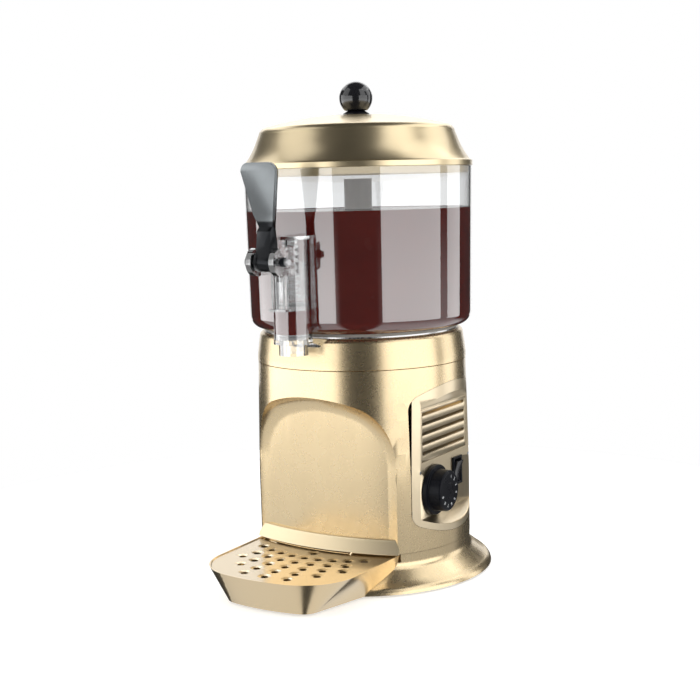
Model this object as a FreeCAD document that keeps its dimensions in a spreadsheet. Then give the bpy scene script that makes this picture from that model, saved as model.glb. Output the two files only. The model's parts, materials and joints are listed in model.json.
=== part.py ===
import FreeCAD, Part
import math
import os
import Sketcher

# A five litre hot chocolate dispenser: a flared base with a cup recess and a drip tray,
# a heated water bath, a clear bowl with its own tap, a stirrer and a lid.
# Frame: millimetres, +Z up, the floor at z = 0, the bowl's axis is the Z axis,
# the tap and the drip tray face -Y and the controls face +X.

doc = FreeCAD.newDocument("dispenser")
sheet = doc.addObject("Spreadsheet::Sheet", "Sizes")

SIZES = [
    # base flange, feet and base plate
    ("foot_height", 2), ("foot_radius", 9), ("foot_circle", 92),
    ("rim_radius", 130), ("rim_round", 9), ("rim_step", 5.4), ("cone_low_height", 8.9),
    ("cone_high_radius", 111.3), ("cone_high_height", 19.4), ("sweep_round", 9),
    ("neck_radius", 107.8), ("neck_height", 27), ("flange_height", 34.5), ("flange_wall", 3.5),
    ("plate_thickness", 1.5), ("plate_seat_height", 4.6), ("plate_gap", 0.1),
    ("plate_side_gap", 0.4), ("plate_ledge", 3),
    # body shell
    ("seam_gap", 0.3), ("body_wall", 3), ("body_low_radius", 108.2), ("body_mid_radius", 108.5),
    ("body_mid_height", 100), ("body_top_radius", 106), ("body_height", 214.2),
    ("recess_front", 82), ("recess_radius", 240), ("recess_half", 90), ("recess_arch_drop", 26),
    ("recess_arch_radius", 140), ("recess_arch_corner", 65), ("recess_cove", 18),
    ("lip_foot", 0.7), ("lip_tall", 13.3), ("lip_half_width", 82), ("lip_depth", 9),
    ("lip_top_depth", 3.2), ("lip_round", 1.5), ("lip_gap", 0.1),
    # collar ring
    ("collar_low_radius", 106.3), ("collar_skirt", 6.5), ("collar_high_radius", 103.8),
    ("collar_round", 5.5), ("collar_rise", 30.5),
    ("collar_wall", 3), ("notch_depth", 8), ("notch_half_width", 15), ("notch_slope", 8),
    ("notch_reach", 99),
    # control panel
    ("panel_half_width", 61.5), ("panel_top_margin", 17.2), ("panel_top_radius", 141),
    ("panel_low_margin", 13.5), ("panel_low_radius", 136), ("panel_corner", 15), ("panel_gap", 0.3),
    ("panel_face", 94.5), ("panel_plate", 5), ("scoop_head", 22), ("scoop_top_rise", 12.5),
    ("scoop_foot", 17.5), ("scoop_low_drop", 13), ("scoop_run", 14), ("panel_border", 6.5),
    ("louvre_front", -50), ("louvre_back", 46), ("louvre_foot", 7), ("louvre_head", 2),
    ("louvre_depth", 10), ("louvre_gap", 0.2), ("louvre_end", 3),
    ("slat_thickness", 6.5), ("slat_drop", 5), ("slat_count", 5), ("panel_screw_radius", 2),
    ("panel_screw_length", 9), ("panel_screw_inset", 5), ("panel_screw_rise", 64),
    # thermostat
    ("dial_front", -26.5), ("dial_rise", 43), ("dial_gap", 0.6), ("dial_skirt_radius", 25),
    ("dial_skirt", 4.5), ("dial_grip_radius", 21), ("dial_depth", 17.5), ("dial_round", 2.5),
    ("dial_edge", 1), ("dial_taper", 1), ("spindle_way", 1),
    ("spindle_radius", 3), ("spindle_fit", 0.05), ("spindle_reach", 10), ("thermostat_width", 30),
    ("thermostat_depth", 32), ("spindle_seat", 8),
    # rocker switch
    ("switch_y", 24), ("switch_rise", 52), ("switch_width", 19), ("switch_length", 29),
    ("switch_bezel", 2), ("switch_rim", 2.6), ("switch_depth", 22), ("switch_hole_step", 1.5),
    ("rocker_gap", 0.5), ("rocker_radius", 15), ("rocker_proud", 3.2), ("rocker_reach", 8),
    ("rocker_sink", 0.5), ("rocker_trim", 0.6), ("rocker_high_trim", 1.5), ("rocker_root_rise", 3),
    ("rocker_well_spare", 2), ("trunnion_radius", 1.5), ("trunnion_reach", 1.2),
    ("trunnion_gap", 0.1),
    # drip tray
    ("tray_low", 2.2), ("tray_drop", 0.5), ("tray_rear", 52), ("tray_rear_half", 81.5),
    ("tray_side_half", 78.25), ("tray_side_front", 149.6), ("tray_corner_x", 34.2),
    ("tray_corner", 53), ("tray_front_radius", 203), ("tray_rear_draft", 0.9),
    ("tray_side_draft", 29), ("tray_side_run", 23.5), ("tray_corner_run", 2.6),
    ("tray_foot_corner", 16), ("tray_draft", 14.6), ("tray_wall", 2.5),
    ("tray_floor", 2.5), ("tray_gap", 0.5), ("tray_tongue_half", 61),
    ("tray_neck_spare", 0.6), ("tray_rim", 1.6), ("grille_sink", 2.6), ("grille_thickness", 1.6),
    ("grille_gap", 0.3), ("grille_hole_radius", 3.4), ("grille_dimple_radius", 6.9),
    ("grille_dimple_depth", 1), ("grille_first_row", 184), ("grille_row_pitch", 16.8),
    ("grille_angle", 7.5), ("grille_lip_clear", 2), ("grille_lip_gap", 2.4),
    # water bath
    ("pan_radius", 93), ("pan_flange_radius", 98.5), ("pan_sheet", 1.2), ("pan_depth", 48),
    ("pan_tube_radius", 5.5), ("pan_tube_wall", 1.2), ("pan_tube_rise", 1),
    ("collar_bore_gap", 0.2),
    ("element_radius", 70), ("element_bore", 20), ("element_thickness", 7), ("limiter_radius", 8),
    ("limiter_height", 9), ("limiter_x", 58), ("limiter_y", 56), ("seal_inner", 90.5),
    ("seal_thickness", 2.6), ("seal_gap", 0.2),
    # bowl
    ("bowl_wall", 3), ("bowl_corner", 13), ("bowl_low_radius", 113.2),
    ("bowl_top_radius", 115.5), ("bowl_tall", 157.4), ("well_radius", 89), ("well_depth", 47),
    ("chimney_radius", 10), ("chimney_bore", 7.5), ("chimney_rise", 130.7),
    # tap
    ("tap_y", 124.5), ("tap_radius", 18), ("tap_bore", 14.5), ("tap_drop", 2), ("tap_tall", 94),
    ("nozzle_radius", 14), ("nozzle_bore", 9.5), ("nozzle_tall", 15), ("ring_radius", 18.7),
    ("ring_height", 4), ("port_radius", 8), ("port_rise", 14), ("slot_half", 5.5),
    ("slot_rise", 53), ("pivot_y", 163), ("pivot_rise", 73), ("ear_inner", 10), ("ear_thickness", 5.5),
    ("ear_radius", 13), ("plate_half", 9), ("plate_y_front", 149.5), ("plate_rise", 26),
    ("plate_tall", 2.2), ("tap_seat_gap", 0.1),
    ("channel_half", 7.5), ("channel_y_front", 147.5), ("channel_tall", 34),
    ("cap_flange", 3), ("cap_spigot", 4), ("cap_boss", 6),
    ("piston_fit", 0.08), ("valve_radius", 12.5), ("valve_lift", 0.3), ("valve_height", 4.7),
    ("stem_radius", 5), ("piston_rise", 26), ("piston_tall", 45), ("piston_bore", 11),
    ("piston_floor", 11), ("ring_wire", 1.2), ("ring_fit", 0.05), ("valve_ring_fit", 0.9),
    ("ring_rise", 5), ("window_half", 4), ("window_rise", 31.2), ("window_tall", 11),
    ("spring_radius", 8), ("spring_wire", 0.8), ("spring_turns", 8), ("spring_gap", 0.3),
    # lever, pin
    ("pin_radius", 3), ("pin_fit", 0.06), ("pin_left", 19.1), ("pin_right", 24),
    ("pin_cap_radius", 8.3), ("pin_cap_depth", 8), ("pin_dome_height", 6), ("pin_cap_start", 15.7),
    ("clip_radius", 4.2), ("clip_start", 16), ("clip_thickness", 3), ("lever_side_gap", 0.3),
    ("lever_bevel", 1), ("barrel_radius", 9), ("neck_half", 7.5),
    ("paddle_half", 19), ("paddle_mid_half", 11), ("paddle_tall", 90), ("paddle_shoulder_drop", 8),
    ("paddle_foot_rise", 44), ("neck_tall", 32), ("neck_bevel", 4), ("paddle_round", 9),
    ("paddle_front_top", 175), ("paddle_front_low", 168), ("paddle_thickness", 5),
    ("wedge_depth", 3.5), ("neck_front", 167.5),
    ("web_back", 152), ("web_half", 2.5), ("web_rise", 11), ("web_drop", 2), ("finger_reach", 24.8),
    ("finger_drop", 10.3), ("finger_half", 3), ("finger_tall", 6.4),
    # stirrer and drive
    ("sleeve_bore", 10.4), ("sleeve_radius", 14), ("sleeve_foot", 12), ("sleeve_roof_gap", 0.3),
    ("sleeve_crown", 16), ("socket_gap", 0.1), ("socket_depth", 11), ("square_side", 5.6),
    ("square_tall", 10.3), ("shaft_radius", 4), ("shaft_seat", 26),
    ("shaft_fit", 0.05), ("bush_height", 10), ("bush_flange", 6.5), ("bush_rim", 1),
    ("low_blade_rise", 7),
    ("blade_reach", 80), ("blade_height", 20), ("blade_thickness", 3), ("upper_blade_reach", 102),
    ("upper_blade_rise", 13), ("blade_tilt", 30), ("blade_root", 12),
    ("motor_plate_drop", 29), ("motor_plate_radius", 75), ("motor_plate_sheet", 2.5),
    ("motor_plate_bore", 7), ("pillar_radius", 5), ("pillar_circle", 66), ("gearbox_length", 76),
    ("gearbox_width", 56), ("gearbox_height", 32), ("motor_radius", 28), ("motor_length", 58),
    ("motor_y", 6), ("motor_screw_radius", 2), ("motor_screw_head", 3.6), ("motor_screw_x", 30),
    ("motor_screw_y", 20), ("motor_screw_length", 8), ("screw_head_height", 2.2),
    # rear inlet and wiring
    ("gland_z", 20.5), ("gland_radius", 7), ("gland_bore", 3.6), ("gland_reach", 8),
    ("gland_nut_radius", 10.5), ("gland_nut", 5), ("gland_pad_half", 16),
    ("gland_pad_inset", 25.5), ("gland_pad_low", 8),
    ("gland_pad_high", 33), ("terminal_x", -40), ("terminal_y", 42), ("terminal_length", 36),
    ("terminal_width", 18), ("terminal_height", 16), ("base_screw_radius", 2), ("base_screw_head", 4),
    ("base_screw_inset", 17), ("base_screw_length", 7), ("screw_boss_radius", 5),
    # lid and knob
    ("lid_gap", 0.3), ("lid_rim_radius", 115.6), ("lid_rim_height", 5.3), ("lid_step_radius", 113.4),
    ("lid_step_rise", 6.6), ("lid_side_radius", 101), ("lid_side_rise", 28.6), ("lid_side_round", 80),
    ("lid_shoulder_radius", 98.6), ("lid_shoulder_rise", 34.6), ("lid_shoulder_round", 9),
    ("lid_dome_radius", 90), ("lid_dome_rise", 41.9), ("lid_dome_round", 355), ("lid_rise", 53.4),
    ("lid_wall", 2), ("lid_ring_radius", 111.6), ("lid_ring_wall", 2), ("lid_ring_drop", 6.4),
    ("knob_radius", 16.8), ("knob_rise", 12.4), ("washer_tall", 3.7), ("washer_radius", 13),
    ("washer_neck", 8.5), ("washer_edge", 1), ("knob_bore", 2.5),
    ("lid_screw_length", 20), ("lid_screw_head", 5),
]

PAST = 1  # how far a cutting tool runs past the face that it opens
NEAR = 0.01  # coordinates closer than this are the same
BASE_SCREW_ANGLES = (-12, 50, 130, 192)
FOOT_ANGLES = (-30, 60, 120, 210)
PILLAR_ANGLES = (60, 180, 300)
GRILLE_SIDE_HOLES = (1, 2, 3, 3, 4, 4)  # holes each side of the middle, row by row

for row, (name, size) in enumerate(SIZES, start=1):
    sheet.set("A%d" % row, name)
    sheet.set("B%d" % row, str(size))
    sheet.setAlias("B%d" % row, name)
doc.recompute()


class Size:
    """A number together with the sheet expression that gives it."""

    def __init__(self, number, text):
        self.number = float(number)
        self.text = text

    def __add__(self, other):
        return joined(self, other, "+", lambda a, b: a + b)

    def __radd__(self, other):
        return joined(other, self, "+", lambda a, b: a + b)

    def __sub__(self, other):
        return joined(self, other, "-", lambda a, b: a - b)

    def __rsub__(self, other):
        return joined(other, self, "-", lambda a, b: a - b)

    def __mul__(self, other):
        return joined(self, other, "*", lambda a, b: a * b)

    def __rmul__(self, other):
        return joined(other, self, "*", lambda a, b: a * b)

    def __truediv__(self, other):
        return joined(self, other, "/", lambda a, b: a / b)

    def __neg__(self):
        return Size(-self.number, "(0 - %s)" % self.text)


def as_size(value):
    return value if isinstance(value, Size) else Size(value, repr(float(value)))


def joined(first, second, sign, combine):
    first, second = as_size(first), as_size(second)
    number = combine(first.number, second.number)
    return Size(number, "(%s %s %s)" % (first.text, sign, second.text))


def root(size):
    return Size(math.sqrt(size.number), "sqrt(%s)" % size.text)


class Sheet:
    """S.name is the size of that name in the sheet, or a place that follows from such sizes."""

    def __getattr__(self, name):
        if name in PLACES:
            return PLACES[name]()
        return Size(getattr(sheet, name), "Sizes." + name)


S = Sheet()
PLACES = {
    # base, body and collar, from the floor up
    "cone_low_radius": lambda: S.rim_radius - S.rim_step,
    "gland_pad_face": lambda: S.rim_radius - S.gland_pad_inset,
    "base_screw_circle": lambda: S.rim_radius - S.base_screw_inset,
    "recess_centre_back": lambda: S.recess_radius - S.recess_front,
    "recess_arch_top": lambda: S.body_height - S.recess_arch_drop,
    "recess_arch_low": lambda: S.recess_arch_top - S.recess_arch_radius,
    "lip_low": lambda: S.flange_height + S.lip_foot,
    "lip_high": lambda: S.lip_low + S.lip_tall,
    "lip_reach": lambda: S.recess_front + S.lip_depth,
    "collar_low": lambda: S.body_height + S.seam_gap,
    "collar_mid_height": lambda: S.collar_low + S.collar_skirt,
    "collar_height": lambda: S.collar_low + S.collar_rise,
    "collar_high_height": lambda: S.collar_height - S.collar_round,
    "notch_low": lambda: S.collar_height - S.notch_depth,
    # control panel
    "panel_top": lambda: S.body_height - S.panel_top_margin,
    "panel_low": lambda: S.flange_height + S.panel_low_margin,
    "scoop_top": lambda: S.panel_top - S.scoop_head,
    "scoop_low": lambda: S.panel_low + S.scoop_foot,
    "dial_height": lambda: S.panel_low + S.dial_rise,
    "switch_z": lambda: S.panel_low + S.switch_rise,
    "panel_screw_height": lambda: S.panel_low + S.panel_screw_rise,
    "louvre_low": lambda: S.switch_z + S.switch_length / 2 + S.louvre_foot,
    "louvre_high": lambda: S.scoop_top - S.louvre_head,
    "slat_pitch": lambda: (S.louvre_high - S.louvre_low - S.slat_thickness / 2) / S.slat_count,
    # drip tray
    "tray_height": lambda: S.flange_height - S.tray_drop,
    "grille_seat": lambda: S.tray_height - S.grille_sink,
    "tray_neck_half": lambda: S.tray_rear_half - S.tray_neck_spare,
    # water bath and drive, hung from the collar
    "pan_low": lambda: S.collar_height - S.pan_depth,
    "motor_plate_z": lambda: S.pan_low - S.motor_plate_drop,
    "shaft_low": lambda: S.motor_plate_z - S.shaft_seat,
    # bowl, stood on its seal, and what stands in it
    "bowl_low": lambda: S.collar_height + S.pan_sheet + S.seal_thickness + S.seal_gap,
    "pan_tube_top": lambda: S.bowl_low + S.pan_tube_rise,
    "bowl_top": lambda: S.bowl_low + S.bowl_tall,
    "well_low": lambda: S.bowl_low - S.well_depth,
    "chimney_top": lambda: S.bowl_low + S.chimney_rise,
    "sleeve_low": lambda: S.well_low + S.sleeve_foot,
    "low_blade_z": lambda: S.well_low + S.low_blade_rise,
    "upper_blade_z": lambda: S.bowl_low + S.upper_blade_rise,
    "square_low": lambda: S.chimney_top,
    "square_top": lambda: S.square_low + S.square_tall,
    "sleeve_roof": lambda: S.chimney_top + S.sleeve_roof_gap,
    "sleeve_top": lambda: S.sleeve_roof + S.sleeve_crown,
    # tap
    "tap_low": lambda: S.bowl_low - S.tap_drop,
    "tap_top": lambda: S.tap_low + S.tap_tall,
    "nozzle_low": lambda: S.tap_low - S.nozzle_tall,
    "port_height": lambda: S.bowl_low + S.port_rise,
    "slot_low": lambda: S.bowl_low + S.slot_rise,
    "pivot_z": lambda: S.bowl_low + S.pivot_rise,
    "plate_z": lambda: S.bowl_low + S.plate_rise,
    "channel_top": lambda: S.plate_z + S.channel_tall,
    "valve_low": lambda: S.tap_low + S.valve_lift,
    "piston_low": lambda: S.bowl_low + S.piston_rise,
    "piston_top": lambda: S.piston_low + S.piston_tall,
    "piston_bore_low": lambda: S.piston_low + S.piston_floor,
    "ring_high_z": lambda: S.piston_low + S.ring_rise,
    "window_low": lambda: S.piston_low + S.window_rise,
    # lever, from its pivot
    "paddle_top": lambda: S.pivot_z + S.paddle_tall,
    "paddle_shoulder": lambda: S.paddle_top - S.paddle_shoulder_drop,
    "paddle_foot": lambda: S.pivot_z + S.paddle_foot_rise,
    "neck_top": lambda: S.pivot_z + S.neck_tall,
    "neck_low": lambda: S.neck_top - S.neck_bevel,
    "web_low": lambda: S.pivot_z + S.web_rise,
    "web_high": lambda: S.neck_top - S.web_drop,
    # lid, from the bowl's rim
    "lid_step_height": lambda: S.bowl_top + S.lid_step_rise,
    "lid_side_height": lambda: S.bowl_top + S.lid_side_rise,
    "lid_shoulder_height": lambda: S.bowl_top + S.lid_shoulder_rise,
    "lid_dome_height": lambda: S.bowl_top + S.lid_dome_rise,
    "lid_top": lambda: S.bowl_top + S.lid_rise,
    "lid_ring_low": lambda: S.bowl_top - S.lid_ring_drop,
    "knob_flat": lambda: S.lid_top + S.washer_tall,
    "knob_height": lambda: S.knob_flat + S.knob_rise,
}
NODES = {}
X, Y, Z = FreeCAD.Vector(1, 0, 0), FreeCAD.Vector(0, 1, 0), FreeCAD.Vector(0, 0, 1)
ALONG = {
    "Z": FreeCAD.Rotation(),
    "X": FreeCAD.Rotation(Y, 90),
    "Y": FreeCAD.Rotation(X, -90),
}


def node(label, item):
    """Register a finished sub-part under its own label."""
    item.Label = label
    NODES[label] = item
    return item


def bind(item, path, value):
    """Set a property from a size and tie it to the sheet."""
    value = as_size(value)
    item.setExpression(path, value.text)


def place(item, at, turn=None):
    """Put an item at a point given by sizes."""
    numbers = [as_size(part).number for part in at]
    item.Placement = FreeCAD.Placement(FreeCAD.Vector(*numbers), turn or FreeCAD.Rotation())
    for axis, part in zip("xyz", at):
        bind(item, "Placement.Base." + axis, part)
    return item


def cylinder(name, radius, height, at=(0, 0, 0), along="Z"):
    item = doc.addObject("Part::Cylinder", name)
    bind(item, "Radius", radius)
    bind(item, "Height", height)
    return place(item, at, ALONG[along])


def ball(name, radius, at):
    item = doc.addObject("Part::Sphere", name)
    bind(item, "Radius", radius)
    return place(item, at)


def box(name, low, high):
    """A box between two corners."""
    item = doc.addObject("Part::Box", name)
    for size_name, a, b in zip(("Length", "Width", "Height"), low, high):
        bind(item, size_name, as_size(b) - a)
    return place(item, low)


def tube(name, outer, inner, height, at=(0, 0, 0), along="Z"):
    return cut(name, cylinder(name + "_out", outer, height, at, along),
               cylinder(name + "_in", inner, height, at, along))


def cut(name, base, *tools):
    """Take each tool away from the base."""
    result = base
    for index, tool in enumerate(tools):
        step = doc.addObject("Part::Cut", name + "_cut%d" % index)
        step.Base = result
        step.Tool = tool
        result = step
    doc.recompute()
    return result


def fuse(name, *items):
    result = doc.addObject("Part::MultiFuse", name + "_fuse")
    result.Shapes = list(items)
    doc.recompute()
    return result


def common(name, *items):
    result = doc.addObject("Part::MultiCommon", name + "_common")
    result.Shapes = list(items)
    doc.recompute()
    return result


def group(name, items):
    """Separate solids that share one node."""
    result = doc.addObject("Part::Compound", name + "_group")
    result.Links = items
    doc.recompute()
    return result


def rounded(name, base, radius, chosen):
    """Round the edges that the test picks."""
    doc.recompute()
    picks = [index for index, edge in enumerate(base.Shape.Edges, start=1) if chosen(edge)]
    if not picks:
        raise RuntimeError("no edge to round on " + name)
    item = doc.addObject("Part::Fillet", name + "_round")
    item.Base = base
    item.Edges = [(index, radius.number, radius.number) for index in picks]
    doc.recompute()
    return item


def copied(name, source, at, turn=None):
    """A second item of the same shape at another place."""
    item = doc.addObject("Part::Compound", name)
    item.Links = [source]
    return place(item, at, turn)


def arc_between(start, end, radius):
    """An arc's centre; a positive radius turns left on the way, a negative one right."""
    half = (end - start) * 0.5
    reach = math.sqrt(max(radius * radius - half.Length * half.Length, 0.0))
    left = FreeCAD.Vector(-half.y, half.x, 0).normalize()
    side = 1 if radius > 0 else -1
    return start + half + left * reach * side


def fix_point(sketch, index, position, point):
    """Hold one end of a line or arc at its coordinates."""
    for kind, axis, value in (("DistanceX", -2, point[0]), ("DistanceY", -1, point[1])):
        value = as_size(value)
        if value.number == 0:
            sketch.addConstraint(Sketcher.Constraint("PointOnObject", index, position, axis))
            continue
        number = sketch.addConstraint(
            Sketcher.Constraint(kind, -1, 1, index, position, value.number))
        bind(sketch, "Constraints[%d]" % number, value)


def draw(sketch, outline):
    """Draw a closed outline. A point is (x, y), or (x, y, radius) to reach it by an arc."""
    points = [FreeCAD.Vector(as_size(p[0]).number, as_size(p[1]).number, 0) for p in outline]
    count = len(outline)
    starts = []
    for index in range(count):
        start, end = points[index], points[(index + 1) % count]
        bend = outline[(index + 1) % count]
        if len(bend) < 3:
            sketch.addGeometry(Part.LineSegment(start, end))
            starts.append(1)
            continue
        radius = as_size(bend[2]).number
        centre = arc_between(start, end, radius)
        circle = Part.Circle(centre, Z, abs(radius))
        first, last = (start, end) if radius > 0 else (end, start)
        sketch.addGeometry(Part.ArcOfCircle(circle, circle.parameter(first), circle.parameter(last)))
        starts.append(1 if radius > 0 else 2)
    for index in range(count):
        after = (index + 1) % count
        sketch.addConstraint(Sketcher.Constraint(
            "Coincident", index, 3 - starts[index], after, starts[after]))
        fix_point(sketch, index, starts[index], outline[index])
        bend = outline[after]
        if len(bend) == 3:
            size = as_size(bend[2])
            number = sketch.addConstraint(Sketcher.Constraint("Radius", index, abs(size.number)))
            bind(sketch, "Constraints[%d]" % number, size if size.number > 0 else -size)


def body_sketch(name, plane, outline, offset=0):
    """A body with one sketch on one of its own origin planes."""
    body = doc.addObject("PartDesign::Body", name)
    sketch = body.newObject("Sketcher::SketchObject", name + "_sketch")
    own = [item for item in body.Origin.OriginFeatures if item.Role == plane + "_Plane"][0]
    sketch.AttachmentSupport = [(own, "")]
    sketch.MapMode = "FlatFace"
    bind(sketch, "AttachmentOffset.Base.z", offset)
    draw(sketch, outline)
    return body, sketch


def turned(name, outline, at=(0, 0, 0), along="Z"):
    """A solid of revolution. Points are (radius, z) about Z, or (x, radius) about X."""
    plane, axis = ("XZ", "V_Axis") if along == "Z" else ("XY", "H_Axis")
    body, sketch = body_sketch(name, plane, outline)
    turn = body.newObject("PartDesign::Revolution", name + "_turn")
    turn.Profile = sketch
    turn.ReferenceAxis = (sketch, [axis])
    turn.Angle = 360
    body.Tip = turn
    place(body, at)
    doc.recompute()
    return body


def padded(name, plane, outline, low, high):
    """A prism from low to high along the plane's normal: Z for XY, Y for XZ, X for YZ."""
    offset = -as_size(high) if plane == "XZ" else low
    body, sketch = body_sketch(name, plane, outline, offset)
    pad = body.newObject("PartDesign::Pad", name + "_pad")
    pad.Profile = sketch
    bind(pad, "Length", as_size(high) - low)
    body.Tip = pad
    doc.recompute()
    return body


def recess_way(name, extra, low):
    """What the cup recess takes away, grown by extra: an arch with a cove to the curved wall."""
    side, corner = S.recess_half + extra, S.recess_arch_corner + extra
    arch = S.recess_arch_radius + extra
    over, across = S.recess_arch_radius - S.recess_arch_corner, S.recess_half - S.recess_arch_corner
    rise = root(over * over - across * across)
    join_x, join_z = across * arch / over, S.recess_arch_low + rise * arch / over
    spring = S.recess_arch_low + rise
    block = padded(name + "_arch", "XZ", [
        (-side, low), (side, low), (side, spring), (join_x, join_z, corner),
        (-join_x, join_z, arch), (-side, spring, corner)], -S.rim_radius, 0)
    plain = cut(name + "_plain", block, recess_drum(name + "_wall", -extra, low, S.body_height))

    def foot_of_sides(edge):
        middle = edge.valueAt((edge.FirstParameter + edge.LastParameter) / 2)
        back = math.hypot(middle.x, middle.y - S.recess_centre_back.number)
        on_wall = abs(back - (S.recess_radius - extra).number) < NEAR
        return on_wall and middle.z > as_size(low).number + NEAR

    return rounded(name, plain, S.recess_cove + extra, foot_of_sides)


def recess_drum(name, extra, low, high):
    """The upright lower part of the recess wall alone."""
    return cylinder(name, S.recess_radius + extra, as_size(high) - low,
                    (0, S.recess_centre_back, low))


def flange_form(name, extra, low):
    """The outside of the flared base, grown sideways by extra."""
    return turned(name, [(0, low), (S.rim_radius + extra, low),
                         (S.cone_low_radius + extra, S.cone_low_height, S.rim_round),
                         (S.cone_high_radius + extra, S.cone_high_height),
                         (S.neck_radius + extra, S.neck_height, -S.sweep_round),
                         (S.body_low_radius + extra, S.flange_height),
                         (0, S.flange_height)])


def tray_gate(name, spare):
    """The way that the tray slides through: a wide neck above and a narrower tongue below."""
    far = -S.rim_radius - S.rim_radius
    low = box(name + "_low", (-S.tray_tongue_half - spare, far, 0),
              (S.tray_tongue_half + spare, 0, S.flange_height + PAST))
    high = box(name + "_high", (-S.tray_neck_half - spare, far, S.neck_height - spare),
               (S.tray_neck_half + spare, 0, S.flange_height + PAST))
    return fuse(name, low, high)


def base_flange():
    outside = flange_form("flange_outside", 0, S.foot_height)
    hollow = turned("flange_hollow", [
        (0, S.foot_height - PAST), (S.rim_radius - S.flange_wall, S.foot_height - PAST),
        (S.rim_radius - S.flange_wall, S.plate_seat_height),
        (S.rim_radius - S.flange_wall - S.plate_ledge, S.plate_seat_height),
        (S.cone_high_radius - S.flange_wall, S.cone_high_height - S.flange_wall),
        (S.neck_radius - S.flange_wall, S.neck_height - S.flange_wall),
        (S.neck_radius - S.flange_wall, S.flange_height + PAST), (0, S.flange_height + PAST)])
    inner = common("flange_inner", hollow,
                   recess_drum("flange_inner_core", -S.flange_wall, 0, S.body_mid_height))
    gate = cut("flange_gate", tray_gate("flange_way", S.tray_gap),
               recess_drum("flange_core", 0, -PAST, S.body_mid_height))
    pad = common("gland_pad", flange_form("gland_pad_form", 0, S.foot_height),
                 box("gland_block", (-S.gland_pad_half, S.gland_pad_face - S.flange_wall,
                                     S.plate_seat_height),
                     (S.gland_pad_half, S.rim_radius, S.gland_pad_high)))
    rods = screw_places("screw_boss", S.screw_boss_radius, S.flange_height, S.plate_seat_height)
    bosses = common("screw_bosses", fuse("screw_boss_rods", *rods),
                    flange_form("screw_boss_form", 0, S.foot_height))
    shell = fuse("flange_shell", cut("flange_hollowed", outside, inner, gate), pad, bosses)
    flat = box("gland_flat", (-S.gland_pad_half, S.gland_pad_face, S.gland_pad_low),
               (S.gland_pad_half, S.rim_radius + PAST, S.gland_pad_high))
    hole = cylinder("gland_hole", S.gland_radius, S.rim_radius,
                    (0, S.rim_radius / 2, S.gland_z), "Y")
    holes = screw_places("flange_screw_hole", S.base_screw_radius, S.base_screw_length,
                         S.plate_seat_height)
    node("base_flange", cut("base_flange", shell, flat, hole, *holes))


def screw_places(name, radius, height, low):
    """Four places on the base plate's screw circle, clear of the tray."""
    items = []
    for index, angle in enumerate(BASE_SCREW_ANGLES):
        turn = math.radians(angle)
        items.append(cylinder("%s_%d" % (name, index), radius, height,
                              (S.base_screw_circle * math.cos(turn),
                               S.base_screw_circle * math.sin(turn), low)))
    return items


def base_plate():
    low = S.plate_seat_height - S.plate_gap - S.plate_thickness
    disc = cylinder("plate_disc", S.rim_radius - S.flange_wall - S.plate_side_gap,
                    S.plate_thickness, (0, 0, low))
    front = common("plate_front", disc,
                   recess_drum("plate_core", -S.flange_wall - S.plate_side_gap, -PAST,
                               S.body_mid_height))
    holes = screw_places("plate_hole", S.base_screw_radius + S.plate_gap, S.plate_thickness, low)
    node("base_plate", cut("base_plate", front, *holes))
    screws = []
    shanks = screw_places("base_shank", S.base_screw_radius - S.plate_gap, S.base_screw_length, low)
    heads = screw_places("base_head", S.base_screw_head, S.plate_thickness, low - S.plate_thickness)
    for index, (shank, head) in enumerate(zip(shanks, heads)):
        screws.append(fuse("base_screw_%d" % index, shank, head))
    node("base_screws", group("base_screws", screws))
    feet = []
    for index, angle in enumerate(FOOT_ANGLES):
        turn = math.radians(angle)
        at = (S.foot_circle * math.cos(turn), S.foot_circle * math.sin(turn), 0)
        feet.append(cylinder("foot_%d" % index, S.foot_radius, low, at))
    node("rubber_feet", group("rubber_feet", feet))


def body_form(name, inset, low, high):
    return turned(name, [(0, low), (S.body_low_radius - inset, low),
                         (S.body_mid_radius - inset, S.body_mid_height),
                         (S.body_top_radius - inset, high), (0, high)])


def panel_prism(name, gap, inner):
    """The control panel's outline with bowed ends, grown by a gap, as a prism along X."""
    half = S.panel_half_width + gap
    block = box(name + "_block", (inner, -half, S.panel_low - S.panel_half_width),
                (S.rim_radius, half, S.panel_top + S.panel_half_width))
    reach = S.rim_radius + PAST
    top = cylinder(name + "_top", S.panel_top_radius + gap, reach,
                   (0, 0, S.panel_top - S.panel_top_radius), "X")
    low = cylinder(name + "_low", S.panel_low_radius + gap, reach,
                   (0, 0, S.panel_low + S.panel_low_radius), "X")
    plain = common(name, block, top, low)

    def corner(edge):
        ends = [vertex.Point for vertex in edge.Vertexes]
        if len(ends) != 2:
            return False
        along_x = abs(ends[0].y - ends[1].y) < NEAR and abs(ends[0].z - ends[1].z) < NEAR
        return along_x and abs(abs(ends[0].y) - half.number) < NEAR

    return rounded(name, plain, S.panel_corner + gap, corner)


def body_shell():
    low = S.flange_height + S.seam_gap
    outside = cut("body_outside", body_form("body_form", 0, low, S.body_height),
                  recess_way("body_recess", 0, low - PAST))
    inside = cut("body_inside",
                 body_form("body_inner_form", S.body_wall, low - PAST, S.body_height + PAST),
                 recess_way("body_inner_recess", S.body_wall, low - PAST - PAST))
    window = panel_prism("body_window", S.panel_gap, 0)
    node("body_shell", cut("body_shell", outside, inside, window))


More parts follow.
